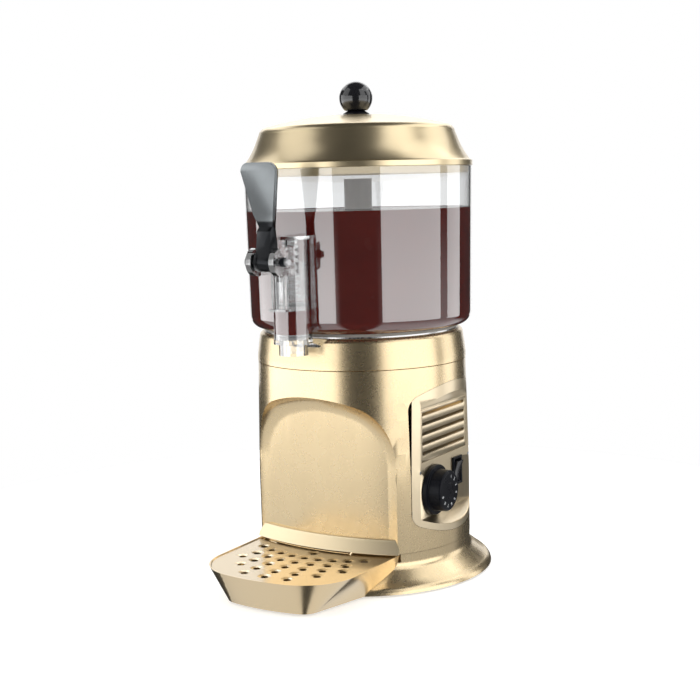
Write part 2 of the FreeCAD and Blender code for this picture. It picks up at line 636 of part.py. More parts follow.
def recess_lip():
    """The sloped sill at the foot of the recess wall."""
    top = S.recess_radius + S.lip_top_depth
    ring = turned("lip_ring", [
        (S.recess_radius, S.lip_low), (S.recess_radius + S.lip_depth, S.lip_low),
        (top, S.lip_high - S.lip_round), (top - S.lip_round, S.lip_high, S.lip_round),
        (S.recess_radius, S.lip_high)], at=(0, S.recess_centre_back, 0))
    width = box("lip_block", (-S.lip_half_width, -S.lip_reach - PAST, S.lip_low),
                (S.lip_half_width, 0, S.lip_high))
    node("recess_lip", common("recess_lip", ring, width,
                              recess_way("lip_way", -S.lip_gap, S.lip_low - PAST)))


def collar_ring():
    low = S.collar_low
    bore = S.pan_radius + S.collar_bore_gap
    ring = turned("collar_turned", [
        (S.collar_low_radius, low), (S.collar_low_radius, S.collar_mid_height),
        (S.collar_high_radius, S.collar_high_height),
        (S.collar_high_radius - S.collar_round, S.collar_height, S.collar_round),
        (bore, S.collar_height), (bore, S.collar_height - S.collar_wall),
        (S.collar_high_radius - S.collar_round, S.collar_height - S.collar_wall),
        (S.collar_high_radius - S.collar_wall, S.collar_high_height - S.collar_wall),
        (S.collar_low_radius - S.collar_wall, S.collar_mid_height),
        (S.collar_low_radius - S.collar_wall, low)])
    wide = S.notch_half_width + S.notch_slope
    notch = padded("collar_notch", "XZ", [
        (-S.notch_half_width, S.notch_low), (S.notch_half_width, S.notch_low),
        (wide, S.collar_height + PAST), (-wide, S.collar_height + PAST)],
        -S.rim_radius, -S.notch_reach)
    node("collar_ring", cut("collar_ring", ring, notch))


def control_panel():
    back = S.panel_face - S.panel_plate
    plug = common("panel_plug", panel_prism("panel_prism", 0, back),
                  body_form("panel_form", 0, S.flange_height, S.body_height))
    face, run = S.panel_face, S.scoop_run
    far = S.rim_radius
    scoop = padded("panel_scoop", "XZ", [
        (face, S.scoop_low), (face, S.scoop_top), (face + run, S.scoop_top + S.scoop_top_rise),
        (far, S.scoop_top + S.scoop_top_rise), (far, S.scoop_low - S.scoop_low_drop),
        (face + run, S.scoop_low - S.scoop_low_drop)],
        -S.rim_radius, S.rim_radius)
    window = box("panel_window", (back - PAST, S.louvre_front, S.louvre_low),
                 (face + PAST, S.louvre_back, S.louvre_high))
    switch_hole = box("panel_switch_hole",
                      (back - PAST, S.switch_y - S.switch_width / 2 + S.switch_hole_step,
                       S.switch_z - S.switch_length / 2 + S.switch_hole_step),
                      (face + PAST, S.switch_y + S.switch_width / 2 - S.switch_hole_step,
                       S.switch_z + S.switch_length / 2 - S.switch_hole_step))
    through = S.panel_plate + PAST * 2
    spindle_hole = cylinder("panel_spindle_hole", S.spindle_radius + S.spindle_way, through,
                            (back - PAST, S.dial_front, S.dial_height), "X")
    screw_y = S.panel_half_width - S.panel_screw_inset - S.panel_screw_inset
    screw_holes = [cylinder("panel_screw_hole_%d" % k, S.panel_screw_radius, through,
                            (back - PAST, screw_y * side, S.panel_screw_height), "X")
                   for k, side in enumerate((-1, 1))]
    dish = common("panel_dish", scoop, panel_prism("panel_dish_prism", -S.panel_border, back))
    node("control_panel", cut("control_panel", plug, dish, window, switch_hole, spindle_hole,
                              *screw_holes))
    screws = [cylinder("panel_screw_%d" % k, S.panel_screw_radius - S.plate_gap,
                       S.panel_screw_length + S.panel_plate - S.panel_gap,
                       (back - S.panel_screw_length, screw_y * side, S.panel_screw_height), "X")
              for k, side in enumerate((-1, 1))]
    node("panel_screws", group("panel_screws", screws))
    louvre_grille(back)


def louvre_grille(back):
    """Slats that slope down to the outside, between two end walls and before the panel's back."""
    gap = S.louvre_gap
    inner, outer = S.panel_face - S.louvre_depth, S.panel_face
    block = box("louvre_block", (inner, S.louvre_front + gap, S.louvre_low + gap),
                (outer, S.louvre_back - gap, S.louvre_high - gap))
    slots = []
    for index in range(int(S.slat_count.number)):
        low = S.louvre_low + S.slat_thickness - gap + S.slat_pitch * index
        high = low + S.slat_pitch - S.slat_thickness
        slots.append(padded("louvre_slot_%d" % index, "XZ", [
            (inner - PAST, low + S.slat_drop), (outer + PAST, low), (outer + PAST, high),
            (inner - PAST, high + S.slat_drop)],
            S.louvre_front + S.louvre_end, S.louvre_back - S.louvre_end))
    keep = box("louvre_keep", (inner - PAST, S.louvre_front, S.louvre_low),
               (outer + PAST, S.louvre_back, S.louvre_high - S.slat_thickness / 2))
    openings = common("louvre_openings", fuse("louvre_slots", *slots), keep)
    end = S.louvre_end
    flange = box("louvre_flange", (inner, S.louvre_front - end, S.louvre_low - end),
                 (back - gap, S.louvre_back + end, S.louvre_high + end))
    bore = box("louvre_flange_bore", (inner - PAST, S.louvre_front + end, S.louvre_low + end),
               (outer, S.louvre_back - end, S.louvre_high - end))
    clip = cut("louvre_clip", flange, bore)
    node("louvre_grille", fuse("louvre_grille", cut("louvre_cut", block, openings), clip))


def thermostat():
    start = S.panel_face + S.dial_gap
    grip = start + S.dial_skirt
    end = start + S.dial_depth
    nose = S.dial_grip_radius - S.dial_taper
    knob = turned("dial_turned", [
        (start, 0), (start, S.dial_skirt_radius - S.dial_edge),
        (start + S.dial_edge, S.dial_skirt_radius, -S.dial_edge),
        (grip, S.dial_skirt_radius - S.dial_edge / 2), (grip, S.dial_grip_radius),
        (end - S.dial_round, nose), (end, nose - S.dial_round, -S.dial_round),
        (end, 0)],
        at=(0, S.dial_front, S.dial_height), along="X")
    socket = cylinder("dial_socket", S.spindle_radius, S.spindle_reach,
                      (start, S.dial_front, S.dial_height), "X")
    node("thermostat_dial", cut("thermostat_dial", knob, socket))
    inner = S.panel_face - S.panel_plate - S.louvre_gap
    spindle_start = inner - S.spindle_seat
    node("thermostat_spindle", cylinder("thermostat_spindle", S.spindle_radius,
                                        start + S.spindle_reach - spindle_start,
                                        (spindle_start, S.dial_front, S.dial_height), "X"))
    half = S.thermostat_width / 2
    case = box("thermostat_case",
               (inner - S.thermostat_depth, S.dial_front - half, S.dial_height - half),
               (inner, S.dial_front + half, S.dial_height + half))
    bore = cylinder("thermostat_bore", S.spindle_radius + S.spindle_fit, S.spindle_seat + PAST,
                    (spindle_start, S.dial_front, S.dial_height), "X")
    node("thermostat_body", cut("thermostat_body", case, bore))


def rocker_switch():
    face = S.panel_face
    y_half, z_half = S.switch_width / 2, S.switch_length / 2
    step = S.switch_hole_step + S.louvre_gap
    bezel = box("switch_bezel", (face, S.switch_y - y_half, S.switch_z - z_half),
                (face + S.switch_bezel, S.switch_y + y_half, S.switch_z + z_half))
    case = box("switch_case", (face - S.switch_depth, S.switch_y - y_half + step,
                               S.switch_z - z_half + step),
               (face, S.switch_y + y_half - step, S.switch_z + z_half - step))
    rim = S.switch_rim
    well = box("switch_well", (face - S.rocker_reach - S.rocker_well_spare,
                               S.switch_y - y_half + rim, S.switch_z - z_half + rim),
               (face + S.switch_bezel + PAST, S.switch_y + y_half - rim,
                S.switch_z + z_half - rim))
    pivot_x = face - S.rocker_reach / 2
    key_y = y_half - rim - S.rocker_gap
    pin_reach = key_y + S.trunnion_reach
    pin_way = cylinder("switch_pin_way", S.trunnion_radius + S.trunnion_gap,
                       (pin_reach + S.trunnion_gap) * 2,
                       (pivot_x, S.switch_y - pin_reach - S.trunnion_gap, S.switch_z), "Y")
    node("switch_housing", cut("switch_housing", fuse("switch_shell", bezel, case), well, pin_way))
    key_half = z_half - rim - S.rocker_gap
    drum = cylinder("rocker_drum", S.rocker_radius, key_y * 2,
                    (pivot_x, S.switch_y - key_y, S.switch_z), "Y")
    tip = face + S.switch_bezel
    side = padded("rocker_side", "XZ", [
        (pivot_x - S.rocker_gap, S.switch_z - key_half + S.rocker_root_rise),
        (tip - S.rocker_sink, S.switch_z - key_half + S.rocker_trim), (tip, S.switch_z),
        (tip + S.rocker_proud, S.switch_z + key_half - S.rocker_high_trim),
        (pivot_x, S.switch_z + key_half - S.rocker_high_trim)],
        S.switch_y - key_y, S.switch_y + key_y)
    pin = cylinder("rocker_pin", S.trunnion_radius, pin_reach * 2,
                   (pivot_x, S.switch_y - pin_reach, S.switch_z), "Y")
    node("switch_rocker", fuse("switch_rocker", common("rocker_key", side, drum), pin))


def tray_outline(rear, half, side, corner_x, corner, reach):
    """The tray seen from above: two flared sides, two corners and a bowed front."""
    front = root(reach * reach - corner_x * corner_x)
    return [(-rear, -S.tray_rear), (-half, -side), (-corner_x, -front, corner),
            (corner_x, -front, reach), (half, -side, corner), (rear, -S.tray_rear)]


def tray_top(inset):
    return tray_outline(S.tray_rear_half - inset, S.tray_side_half - inset, S.tray_side_front,
                        S.tray_corner_x, S.tray_corner - inset, S.tray_front_radius - inset)


def tray_foot(inset):
    return tray_outline(S.tray_rear_half - S.tray_rear_draft - inset,
                        S.tray_side_half - S.tray_side_draft - inset,
                        S.tray_side_front + S.tray_side_run, S.tray_corner_x + S.tray_corner_run,
                        S.tray_foot_corner - inset, S.tray_front_radius - S.tray_draft - inset)


def tray_block(name, inset):
    """The tray's drafted form between its floor and its rim."""
    body, low = body_sketch(name, "XY", tray_foot(inset), S.tray_low)
    high = body.newObject("Sketcher::SketchObject", name + "_rim")
    own = [item for item in body.Origin.OriginFeatures if item.Role == "XY_Plane"][0]
    high.AttachmentSupport = [(own, "")]
    high.MapMode = "FlatFace"
    bind(high, "AttachmentOffset.Base.z", S.tray_height)
    draw(high, tray_top(inset))
    loft = body.newObject("PartDesign::AdditiveLoft", name + "_loft")
    loft.Profile = low
    loft.Sections = [high]
    loft.Ruled = True
    body.Tip = loft
    doc.recompute()
    return body


def tray_form(name, inset):
    """The drafted form, hollowed at the back so that it sits against the flared base."""
    fence = cut(name + "_fence", flange_form(name + "_flange", S.tray_gap + inset, 0),
                tray_gate(name + "_gate", -inset))
    core = recess_drum(name + "_core", S.tray_gap + inset, -PAST, S.body_mid_height)
    return cut(name, tray_block(name + "_block", inset), fence, core)


def level(name, low, high):
    """Everything between two heights."""
    reach = S.tray_front_radius + PAST
    return box(name, (-reach, -reach, low), (reach, reach, high))


def drip_tray():
    well = common("tray_well", tray_form("tray_well_form", S.tray_wall),
                  level("tray_well_level", S.tray_low + S.tray_floor, S.tray_height + PAST))
    rebate = common("tray_rebate", tray_form("tray_rebate_form", S.tray_rim),
                    level("tray_rebate_level", S.grille_seat, S.tray_height + PAST))
    node("drip_tray", cut("drip_tray", tray_form("tray_outer", 0), well, rebate))
    low = S.grille_seat + S.plate_gap
    sheet_form = common("grille_sheet", tray_form("grille_form", S.tray_rim + S.grille_gap),
                        level("grille_level", low, low + S.grille_thickness))
    lip_clear = recess_drum("grille_lip_way", S.lip_depth + S.grille_lip_gap, 0, S.lip_high)
    plain = cut("grille_plain", sheet_form, lip_clear)
    top = low + S.grille_thickness
    hole = turned("grille_hole", [
        (0, low - PAST), (S.grille_hole_radius, low - PAST),
        (S.grille_hole_radius, top - S.grille_dimple_depth), (S.grille_dimple_radius, top),
        (S.grille_dimple_radius, top + PAST), (0, top + PAST)])
    holes = []
    hole_limit = S.recess_radius + S.lip_depth + S.grille_dimple_radius + S.grille_lip_clear
    for row, side_count in enumerate(GRILLE_SIDE_HOLES):
        reach = S.grille_first_row - S.grille_row_pitch * row
        for step in range(-side_count, side_count + 1):
            turn = math.radians(S.grille_angle.number * step)
            at = (reach * math.sin(turn), -reach * math.cos(turn), 0)
            to_wall = S.recess_centre_back - at[1]
            if math.hypot(at[0].number, to_wall.number) < hole_limit.number:
                continue
            holes.append(copied("grille_hole_%d_%d" % (row, step + side_count), hole, at))
    node("drip_grille", cut("drip_grille", plain, group("grille_holes", holes)))


def water_bath():
    tube_out = S.pan_tube_radius + S.pan_tube_wall
    seat = S.collar_height
    pan = turned("pan_turned", [
        (S.pan_tube_radius, S.pan_low), (S.pan_radius, S.pan_low), (S.pan_radius, seat),
        (S.pan_flange_radius, seat), (S.pan_flange_radius, seat + S.pan_sheet),
        (S.pan_radius - S.pan_sheet, seat + S.pan_sheet),
        (S.pan_radius - S.pan_sheet, S.pan_low + S.pan_sheet),
        (tube_out, S.pan_low + S.pan_sheet), (tube_out, S.pan_tube_top),
        (S.pan_tube_radius, S.pan_tube_top)])
    node("water_bath_pan", pan)
    node("heating_element", tube("heating_element", S.element_radius, S.element_bore,
                                 S.element_thickness, (0, 0, S.pan_low - S.element_thickness)))
    node("limit_thermostat", cylinder("limit_thermostat", S.limiter_radius, S.limiter_height,
                                      (S.limiter_x, S.limiter_y, S.pan_low - S.limiter_height)))
    low = S.collar_height + S.pan_sheet
    node("bowl_seal", tube("bowl_seal", S.pan_flange_radius, S.seal_inner, S.seal_thickness,
                           (0, 0, low)))
    bush = turned("bush_turned", [
        (S.shaft_radius + S.shaft_fit, S.pan_tube_top - S.bush_height),
        (S.pan_tube_radius, S.pan_tube_top - S.bush_height), (S.pan_tube_radius, S.pan_tube_top),
        (S.bush_flange, S.pan_tube_top), (S.bush_flange, S.pan_tube_top + S.bush_rim),
        (S.shaft_radius + S.shaft_fit, S.pan_tube_top + S.bush_rim)])
    node("shaft_bush", bush)


def bowl():
    wall = S.bowl_wall
    low, corner = S.bowl_low, S.bowl_corner
    inner_top = S.bowl_top_radius - wall
    vessel = turned("bowl_turned", [
        (S.chimney_bore, S.well_low), (S.well_radius, S.well_low), (S.well_radius, low),
        (S.bowl_low_radius - corner, low), (S.bowl_low_radius, low + corner, corner),
        (S.bowl_top_radius, S.bowl_top), (inner_top, S.bowl_top),
        (S.bowl_low_radius - wall, low + corner),
        (S.bowl_low_radius - corner, low + wall, wall - corner),
        (S.well_radius - wall, low + wall), (S.well_radius - wall, S.well_low + wall),
        (S.chimney_radius, S.well_low + wall), (S.chimney_radius, S.chimney_top),
        (S.chimney_bore, S.chimney_top)])
    middle = -S.tap_y
    barrel = cylinder("tap_barrel", S.tap_radius, S.tap_top - S.tap_low, (0, middle, S.tap_low))
    bore = cylinder("tap_bore_cut", S.tap_bore, S.tap_top - S.tap_low, (0, middle, S.tap_low))
    port = cylinder("port_cut", S.port_radius, S.tap_bore + S.tap_radius,
                    (0, middle, S.port_height), "Y")
    back = common("tap_back", barrel, bowl_outside("tap_back_form", 0))
    node("bowl", cut("bowl", fuse("bowl_solid", vessel, back), bore, port))
    tap_body(middle, barrel, bore)


def bowl_outside(name, extra):
    """The filled outside of the bowl above its floor, grown by extra."""
    corner = S.bowl_low_radius - S.bowl_corner
    return turned(name, [
        (0, S.bowl_low - extra), (corner, S.bowl_low - extra),
        (S.bowl_low_radius + extra, S.bowl_low + S.bowl_corner, S.bowl_corner + extra),
        (S.bowl_top_radius + extra, S.bowl_top), (0, S.bowl_top)])


def tap_body(middle, barrel, bore):
    """The tap's moulding, bonded to the outside of the bowl round the outlet port."""
    nozzle = cylinder("tap_nozzle", S.nozzle_radius, S.tap_low - S.nozzle_low,
                      (0, middle, S.nozzle_low))
    ring = cylinder("tap_ring", S.ring_radius, S.ring_height, (0, middle, S.tap_low - S.ring_height))
    ears = []
    for index, start in enumerate((-S.ear_inner - S.ear_thickness, S.ear_inner)):
        disc = cylinder("ear_disc_%d" % index, S.ear_radius, S.ear_thickness,
                        (start, -S.pivot_y, S.pivot_z), "X")
        arm = box("ear_arm_%d" % index, (start, -S.pivot_y, S.pivot_z - S.ear_radius),
                  (start + S.ear_thickness, middle - S.ear_inner, S.pivot_z + S.ear_radius))
        ears += [disc, arm]
    plate = box("tap_plate", (-S.plate_half, -S.plate_y_front, S.plate_z),
                (S.plate_half, middle - S.tap_bore, S.plate_z + S.plate_tall))
    channel = box("tap_channel", (-S.channel_half, -S.channel_y_front, S.plate_z),
                  (S.channel_half, middle - S.tap_bore, S.channel_top))
    solid = fuse("tap_solid", barrel, nozzle, ring, plate, channel, *ears)
    spout = cylinder("spout_cut", S.nozzle_bore, S.tap_low - S.nozzle_low + PAST * 2,
                     (0, middle, S.nozzle_low - PAST))
    slot = box("slot_cut", (-S.slot_half, -S.channel_y_front - PAST, S.slot_low),
               (S.slot_half, middle, S.tap_top + PAST))
    groove = box("channel_cut",
                 (-S.slot_half, -S.channel_y_front - PAST, S.plate_z + S.plate_tall),
                 (S.slot_half, middle - S.tap_radius, S.tap_top + PAST))
    ear_end = S.ear_inner + S.ear_thickness + PAST
    pin_hole = cylinder("pin_hole", S.pin_radius, ear_end * 2,
                        (-ear_end, -S.pivot_y, S.pivot_z), "X")
    node("tap_body", cut("tap_body", solid, bowl_outside("tap_seat", S.tap_seat_gap), bore,
                         spout, slot, groove, pin_hole))
    cap = fuse("cap_body",
               cut("cap_disc", cylinder("cap_top", S.tap_radius, S.cap_flange, (0, middle, S.tap_top)),
                   cylinder("cap_bowl_way", S.bowl_top_radius, S.bowl_top, (0, 0, 0))),
               cylinder("cap_boss", S.cap_boss, S.cap_spigot, (0, middle, S.tap_top - S.cap_spigot)))
    node("tap_cap", cap)


def tap_piston():
    middle = -S.tap_y
    radius = S.tap_bore - S.piston_fit
    main = cylinder("piston_main", radius, S.piston_top - S.piston_low, (0, middle, S.piston_low))
    stem = cylinder("piston_stem", S.stem_radius, S.piston_low - S.valve_low,
                    (0, middle, S.valve_low))
    valve = cylinder("piston_valve", S.valve_radius, S.valve_height, (0, middle, S.valve_low))
    hollow = cylinder("piston_hollow", S.piston_bore, S.piston_top, (0, middle, S.piston_bore_low))
    window = box("piston_window", (-S.window_half, middle - radius - PAST, S.window_low),
                 (S.window_half, middle, S.window_low + S.window_tall))
    grooves = []
    rings = []
    valve_ring = (S.valve_low + S.valve_height / 2, S.valve_radius + S.valve_ring_fit)
    main_ring = (S.ring_high_z, S.tap_bore - S.ring_fit)
    for index, (height, outer) in enumerate((valve_ring, main_ring)):
        grooves.append(tube("piston_groove_%d" % index, outer + PAST, outer - S.ring_wire * 2,
                            S.ring_wire * 2, (0, middle, height - S.ring_wire)))
        wire = doc.addObject("Part::Torus", "ring_torus_%d" % index)
        bind(wire, "Radius1", outer - S.ring_wire)
        bind(wire, "Radius2", S.ring_wire)
        rings.append(place(wire, (0, middle, height)))
    solid = fuse("piston_solid", main, stem, valve)
    node("tap_piston", cut("tap_piston", solid, hollow, window, *grooves))
    node("piston_rings", group("piston_rings", rings))
    tap_spring(middle)


def tap_spring(middle):
    """A helix of round wire between the piston and the cap."""
    low = S.piston_bore_low + S.spring_gap + S.spring_wire
    high = S.tap_top - S.spring_gap - S.spring_wire
    length = (high - low).number
    radius = S.spring_radius.number - S.spring_wire.number
    path = Part.makeHelix(length / S.spring_turns.number, length, radius)
    section = Part.Wire([Part.makeCircle(S.spring_wire.number, FreeCAD.Vector(radius, 0, 0), Y)])
    item = doc.addObject("Part::Feature", "tap_spring")
    item.Shape = Part.Wire(path.Edges).makePipeShell([section], True, False)
    place(item, (0, middle, low))
    node("tap_spring", item)


def pivot_parts():
    pin = cylinder("pivot_pin", S.pin_radius - S.pin_fit, S.pin_left + S.pin_right,
                   (-S.pin_left, -S.pivot_y, S.pivot_z), "X")
    node("pivot_pin", pin)
    end = S.pin_cap_start + S.pin_cap_depth
    rise, reach = S.pin_dome_height, S.pin_cap_radius
    dome = (rise * rise + reach * reach) / (rise * 2)
    cap = common("pin_cap_domed",
                 cylinder("pin_cap_disc", reach, S.pin_cap_depth,
                          (-end, -S.pivot_y, S.pivot_z), "X"),
                 ball("pin_cap_dome", dome, (dome - end, -S.pivot_y, S.pivot_z)))
    socket = cylinder("pin_cap_socket", S.pin_radius, S.pin_left - S.pin_cap_start,
                      (-S.pin_left, -S.pivot_y, S.pivot_z), "X")
    node("pin_cap", cut("pin_cap", cap, socket))
    node("pin_clip", tube("pin_clip", S.clip_radius, S.pin_radius, S.clip_thickness,
                          (S.clip_start, -S.pivot_y, S.pivot_z), "X"))


def tap_lever():
    pivot_y, pivot_z = -S.pivot_y, S.pivot_z
    half = S.ear_inner - S.lever_side_gap
    barrel = cylinder("lever_barrel", S.barrel_radius, half * 2, (-half, pivot_y, pivot_z), "X")
    face = padded("lever_face", "XZ", [
        (-S.neck_half, pivot_z), (S.neck_half, pivot_z), (S.neck_half, S.neck_top),
        (S.paddle_mid_half, S.paddle_foot), (S.paddle_half, S.paddle_shoulder),
        (S.paddle_half - S.paddle_round, S.paddle_top, S.paddle_round),
        (S.paddle_round - S.paddle_half, S.paddle_top),
        (-S.paddle_half, S.paddle_shoulder, S.paddle_round),
        (-S.paddle_mid_half, S.paddle_foot), (-S.neck_half, S.neck_top)],
        -S.rim_radius * 2, 0)
    thick, bevel = S.paddle_thickness, S.lever_bevel
    side = padded("lever_side", "YZ", [
        (pivot_y - S.barrel_radius + bevel, pivot_z), (-S.neck_front, S.neck_low),
        (S.wedge_depth - S.neck_front, S.neck_top), (-S.paddle_front_low, S.paddle_foot),
        (-S.paddle_front_top, S.paddle_top), (thick - S.paddle_front_top, S.paddle_top),
        (thick - S.paddle_front_low + bevel, S.paddle_foot),
        (thick + S.wedge_depth - S.neck_front, S.neck_top),
        (pivot_y + S.barrel_radius - bevel * 2, pivot_z)],
        -S.paddle_half - PAST, S.paddle_half + PAST)
    blade = common("lever_blade", face, side)
    web = padded("lever_web", "YZ", [
        (pivot_y, pivot_z), (-S.web_back, S.web_low), (thick - S.neck_front, S.web_high),
        (pivot_y - bevel * 2, S.web_high)],
        -S.web_half, S.web_half)
    tip_y, tip_z = pivot_y + S.finger_reach, pivot_z - S.finger_drop
    finger = padded("lever_finger", "YZ", [
        (pivot_y, pivot_z - S.finger_tall), (tip_y, tip_z - S.finger_tall / 2),
        (tip_y, tip_z + S.finger_tall / 2, S.finger_tall),
        (pivot_y, pivot_z + S.finger_tall / 2)],
        -S.finger_half, S.finger_half)
    hole = cylinder("lever_hole", S.pin_radius, (half + PAST) * 2,
                    (-half - PAST, pivot_y, pivot_z), "X")
    node("tap_lever", cut("tap_lever", fuse("lever_solid", barrel, blade, web, finger), hole))


def stirrer():
    sleeve = cylinder("sleeve_rod", S.sleeve_radius, S.sleeve_top - S.sleeve_low,
                      (0, 0, S.sleeve_low))
    hollow = cylinder("sleeve_hollow", S.sleeve_bore, S.sleeve_roof - S.sleeve_low + PAST,
                      (0, 0, S.sleeve_low - PAST))
    side = S.square_side / 2 + S.socket_gap
    socket = box("sleeve_socket", (-side, -side, S.sleeve_roof - PAST),
                 (side, side, S.sleeve_roof + S.socket_depth))
    blades = []
    for name, reach, height, turn in (("low_blade", S.blade_reach, S.low_blade_z, 0),
                                      ("high_blade", S.upper_blade_reach, S.upper_blade_z, 90)):
        for index in range(2):
            blade = box("%s_%d" % (name, index), (S.blade_root, -S.blade_thickness / 2, 0),
                        (reach, S.blade_thickness / 2, S.blade_height))
            tilted = copied("%s_tilt_%d" % (name, index), blade, (0, 0, height),
                            FreeCAD.Rotation(Z, turn + 180 * index)
                            * FreeCAD.Rotation(X, S.blade_tilt.number))
            blades.append(tilted)
    core = fuse("stirrer_solid", sleeve, *blades)
    node("stirrer", cut("stirrer", core, hollow, socket))
    half = S.square_side / 2
    shaft = fuse("shaft_solid",
                 cylinder("shaft_rod", S.shaft_radius, S.square_low - S.shaft_low,
                          (0, 0, S.shaft_low)),
                 box("shaft_square", (-half, -half, S.square_low - PAST),
                     (half, half, S.square_top)))
    node("drive_shaft", shaft)


def drive_unit():
    plate_z = S.motor_plate_z
    disc = cylinder("motor_plate_disc", S.motor_plate_radius, S.motor_plate_sheet,
                    (0, 0, plate_z))
    bore = cylinder("motor_plate_hole", S.motor_plate_bore, S.motor_plate_sheet + PAST * 2,
                    (0, 0, plate_z - PAST))
    screw_holes, screws, heads, wells = [], [], [], []
    for index, (a, b) in enumerate(((-1, -1), (-1, 1), (1, -1), (1, 1))):
        at = (S.motor_screw_x * a, S.motor_screw_y * b)
        low = plate_z - S.motor_screw_length
        screw_holes.append(cylinder("plate_screw_hole_%d" % index, S.motor_screw_radius,
                                    S.motor_plate_sheet, (*at, plate_z)))
        wells.append(cylinder("gearbox_screw_hole_%d" % index, S.motor_screw_radius,
                              S.motor_screw_length, (*at, low)))
        shank = cylinder("motor_shank_%d" % index, S.motor_screw_radius - S.plate_gap,
                         S.motor_screw_length + S.motor_plate_sheet, (*at, low))
        head = cylinder("motor_head_%d" % index, S.motor_screw_head, S.screw_head_height,
                        (*at, plate_z + S.motor_plate_sheet))
        screws.append(fuse("motor_screw_%d" % index, shank, head))
    node("motor_plate", cut("motor_plate", disc, bore, *screw_holes))
    node("motor_screws", group("motor_screws", screws))
    floor = S.plate_seat_height - S.plate_gap
    pillars = []
    for index, angle in enumerate(PILLAR_ANGLES):
        turn = math.radians(angle)
        pillars.append(cylinder("pillar_%d" % index, S.pillar_radius, plate_z - floor,
                                (S.pillar_circle * math.cos(turn),
                                 S.pillar_circle * math.sin(turn), floor)))
    node("plate_pillars", group("plate_pillars", pillars))
    low = plate_z - S.gearbox_height
    case = box("gearbox_case", (-S.gearbox_length / 2, -S.gearbox_width / 2, low),
               (S.gearbox_length / 2, S.gearbox_width / 2, plate_z))
    way = cylinder("gearbox_bore", S.shaft_radius + S.shaft_fit, S.gearbox_height,
                   (0, 0, S.shaft_low - S.shaft_fit))
    node("gearbox", cut("gearbox", case, way, *wells))
    node("motor", cylinder("motor", S.motor_radius, S.motor_length,
                           (0, S.motor_y, low - S.motor_length)))


def inlet_and_wiring():
    face = S.gland_pad_face
    stem = tube("gland_stem", S.gland_radius, S.gland_bore, S.gland_reach + S.flange_wall * 2,
                (0, face - S.flange_wall * 2, S.gland_z), "Y")
    nut = tube("gland_nut", S.gland_nut_radius, S.gland_radius, S.gland_nut,
               (0, face, S.gland_z), "Y")
    node("inlet_gland", fuse("inlet_gland", stem, nut))
    floor = S.plate_seat_height - S.plate_gap
    node("terminal_block", box("terminal_block", (S.terminal_x, S.terminal_y, floor),
                               (S.terminal_x + S.terminal_length, S.terminal_y + S.terminal_width,
                                floor + S.terminal_height)))


def lid():
    rim = S.bowl_top + S.lid_gap
    wall = S.lid_wall
    top = S.lid_rim_radius
    shell = turned("lid_turned", [
        (S.knob_bore, S.lid_top - wall, S.lid_dome_round), (S.knob_bore, S.lid_top),
        (S.lid_dome_radius, S.lid_dome_height, -S.lid_dome_round),
        (S.lid_shoulder_radius, S.lid_shoulder_height, -S.lid_shoulder_round),
        (S.lid_side_radius, S.lid_side_height),
        (S.lid_step_radius, S.lid_step_height, S.lid_side_round),
        (top, rim + S.lid_rim_height), (top, rim),
        (S.lid_ring_radius, rim), (S.lid_ring_radius, S.lid_ring_low),
        (S.lid_ring_radius - S.lid_ring_wall, S.lid_ring_low),
        (S.lid_ring_radius - S.lid_ring_wall, rim + wall),
        (S.lid_side_radius - wall, S.lid_side_height),
        (S.lid_shoulder_radius - wall, S.lid_shoulder_height - wall / 2),
        (S.lid_dome_radius - wall, S.lid_dome_height - wall, S.lid_shoulder_round - wall)])
    node("lid", shell)
    knob = cut("knob_cut", ball("knob_ball", S.knob_radius, (0, 0, S.knob_height)),
               cylinder("knob_foot", S.knob_radius, S.knob_radius,
                        (0, 0, S.knob_flat - S.knob_radius)),
               cylinder("knob_thread", S.knob_bore, S.lid_screw_length, (0, 0, S.lid_top - wall)))
    node("lid_knob", knob)
    washer = turned("washer_turned", [
        (S.knob_bore, S.lid_top), (S.washer_radius, S.lid_top),
        (S.washer_radius, S.lid_top + S.washer_edge),
        (S.washer_neck, S.knob_flat), (S.knob_bore, S.knob_flat)])
    node("knob_washer", washer)
    low = S.lid_top - wall - S.plate_gap
    screw = fuse("lid_screw",
                 cylinder("lid_screw_shank", S.knob_bore - S.plate_gap, S.lid_screw_length,
                          (0, 0, low)),
                 cylinder("lid_screw_cap", S.lid_screw_head, S.screw_head_height,
                          (0, 0, low - S.screw_head_height)))
    node("lid_screw", screw)


def write_parts():
    """Check every object, then write one file for each sub-part."""
    doc.recompute()
    for item in doc.Objects:
        if "Invalid" in item.State or "Error" in item.State:
            raise RuntimeError("%s failed: %s" % (item.Name, item.State))
    for label, item in NODES.items():
        shape = item.Shape
        if shape.isNull() or not shape.isValid() or not shape.Solids:
            raise RuntimeError("%s has no sound solid" % label)
    os.makedirs("parts", exist_ok=True)
    for label, item in NODES.items():
        item.Shape.exportStep("parts/%s.step" % label)
        print("%-20s %2d solid(s) %10.1f mm3" % (label, len(item.Shape.Solids), item.Shape.Volume))


for build in (base_flange, base_plate, body_shell, recess_lip, collar_ring, control_panel,
              thermostat, rocker_switch, drip_tray, water_bath, bowl, tap_piston, pivot_parts, tap_lever,
              stirrer, drive_unit, inlet_and_wiring, lid):
    build()
write_parts()
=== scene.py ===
import json
import math

import bmesh
import bpy
import numpy as np
from mathutils import Matrix, Vector


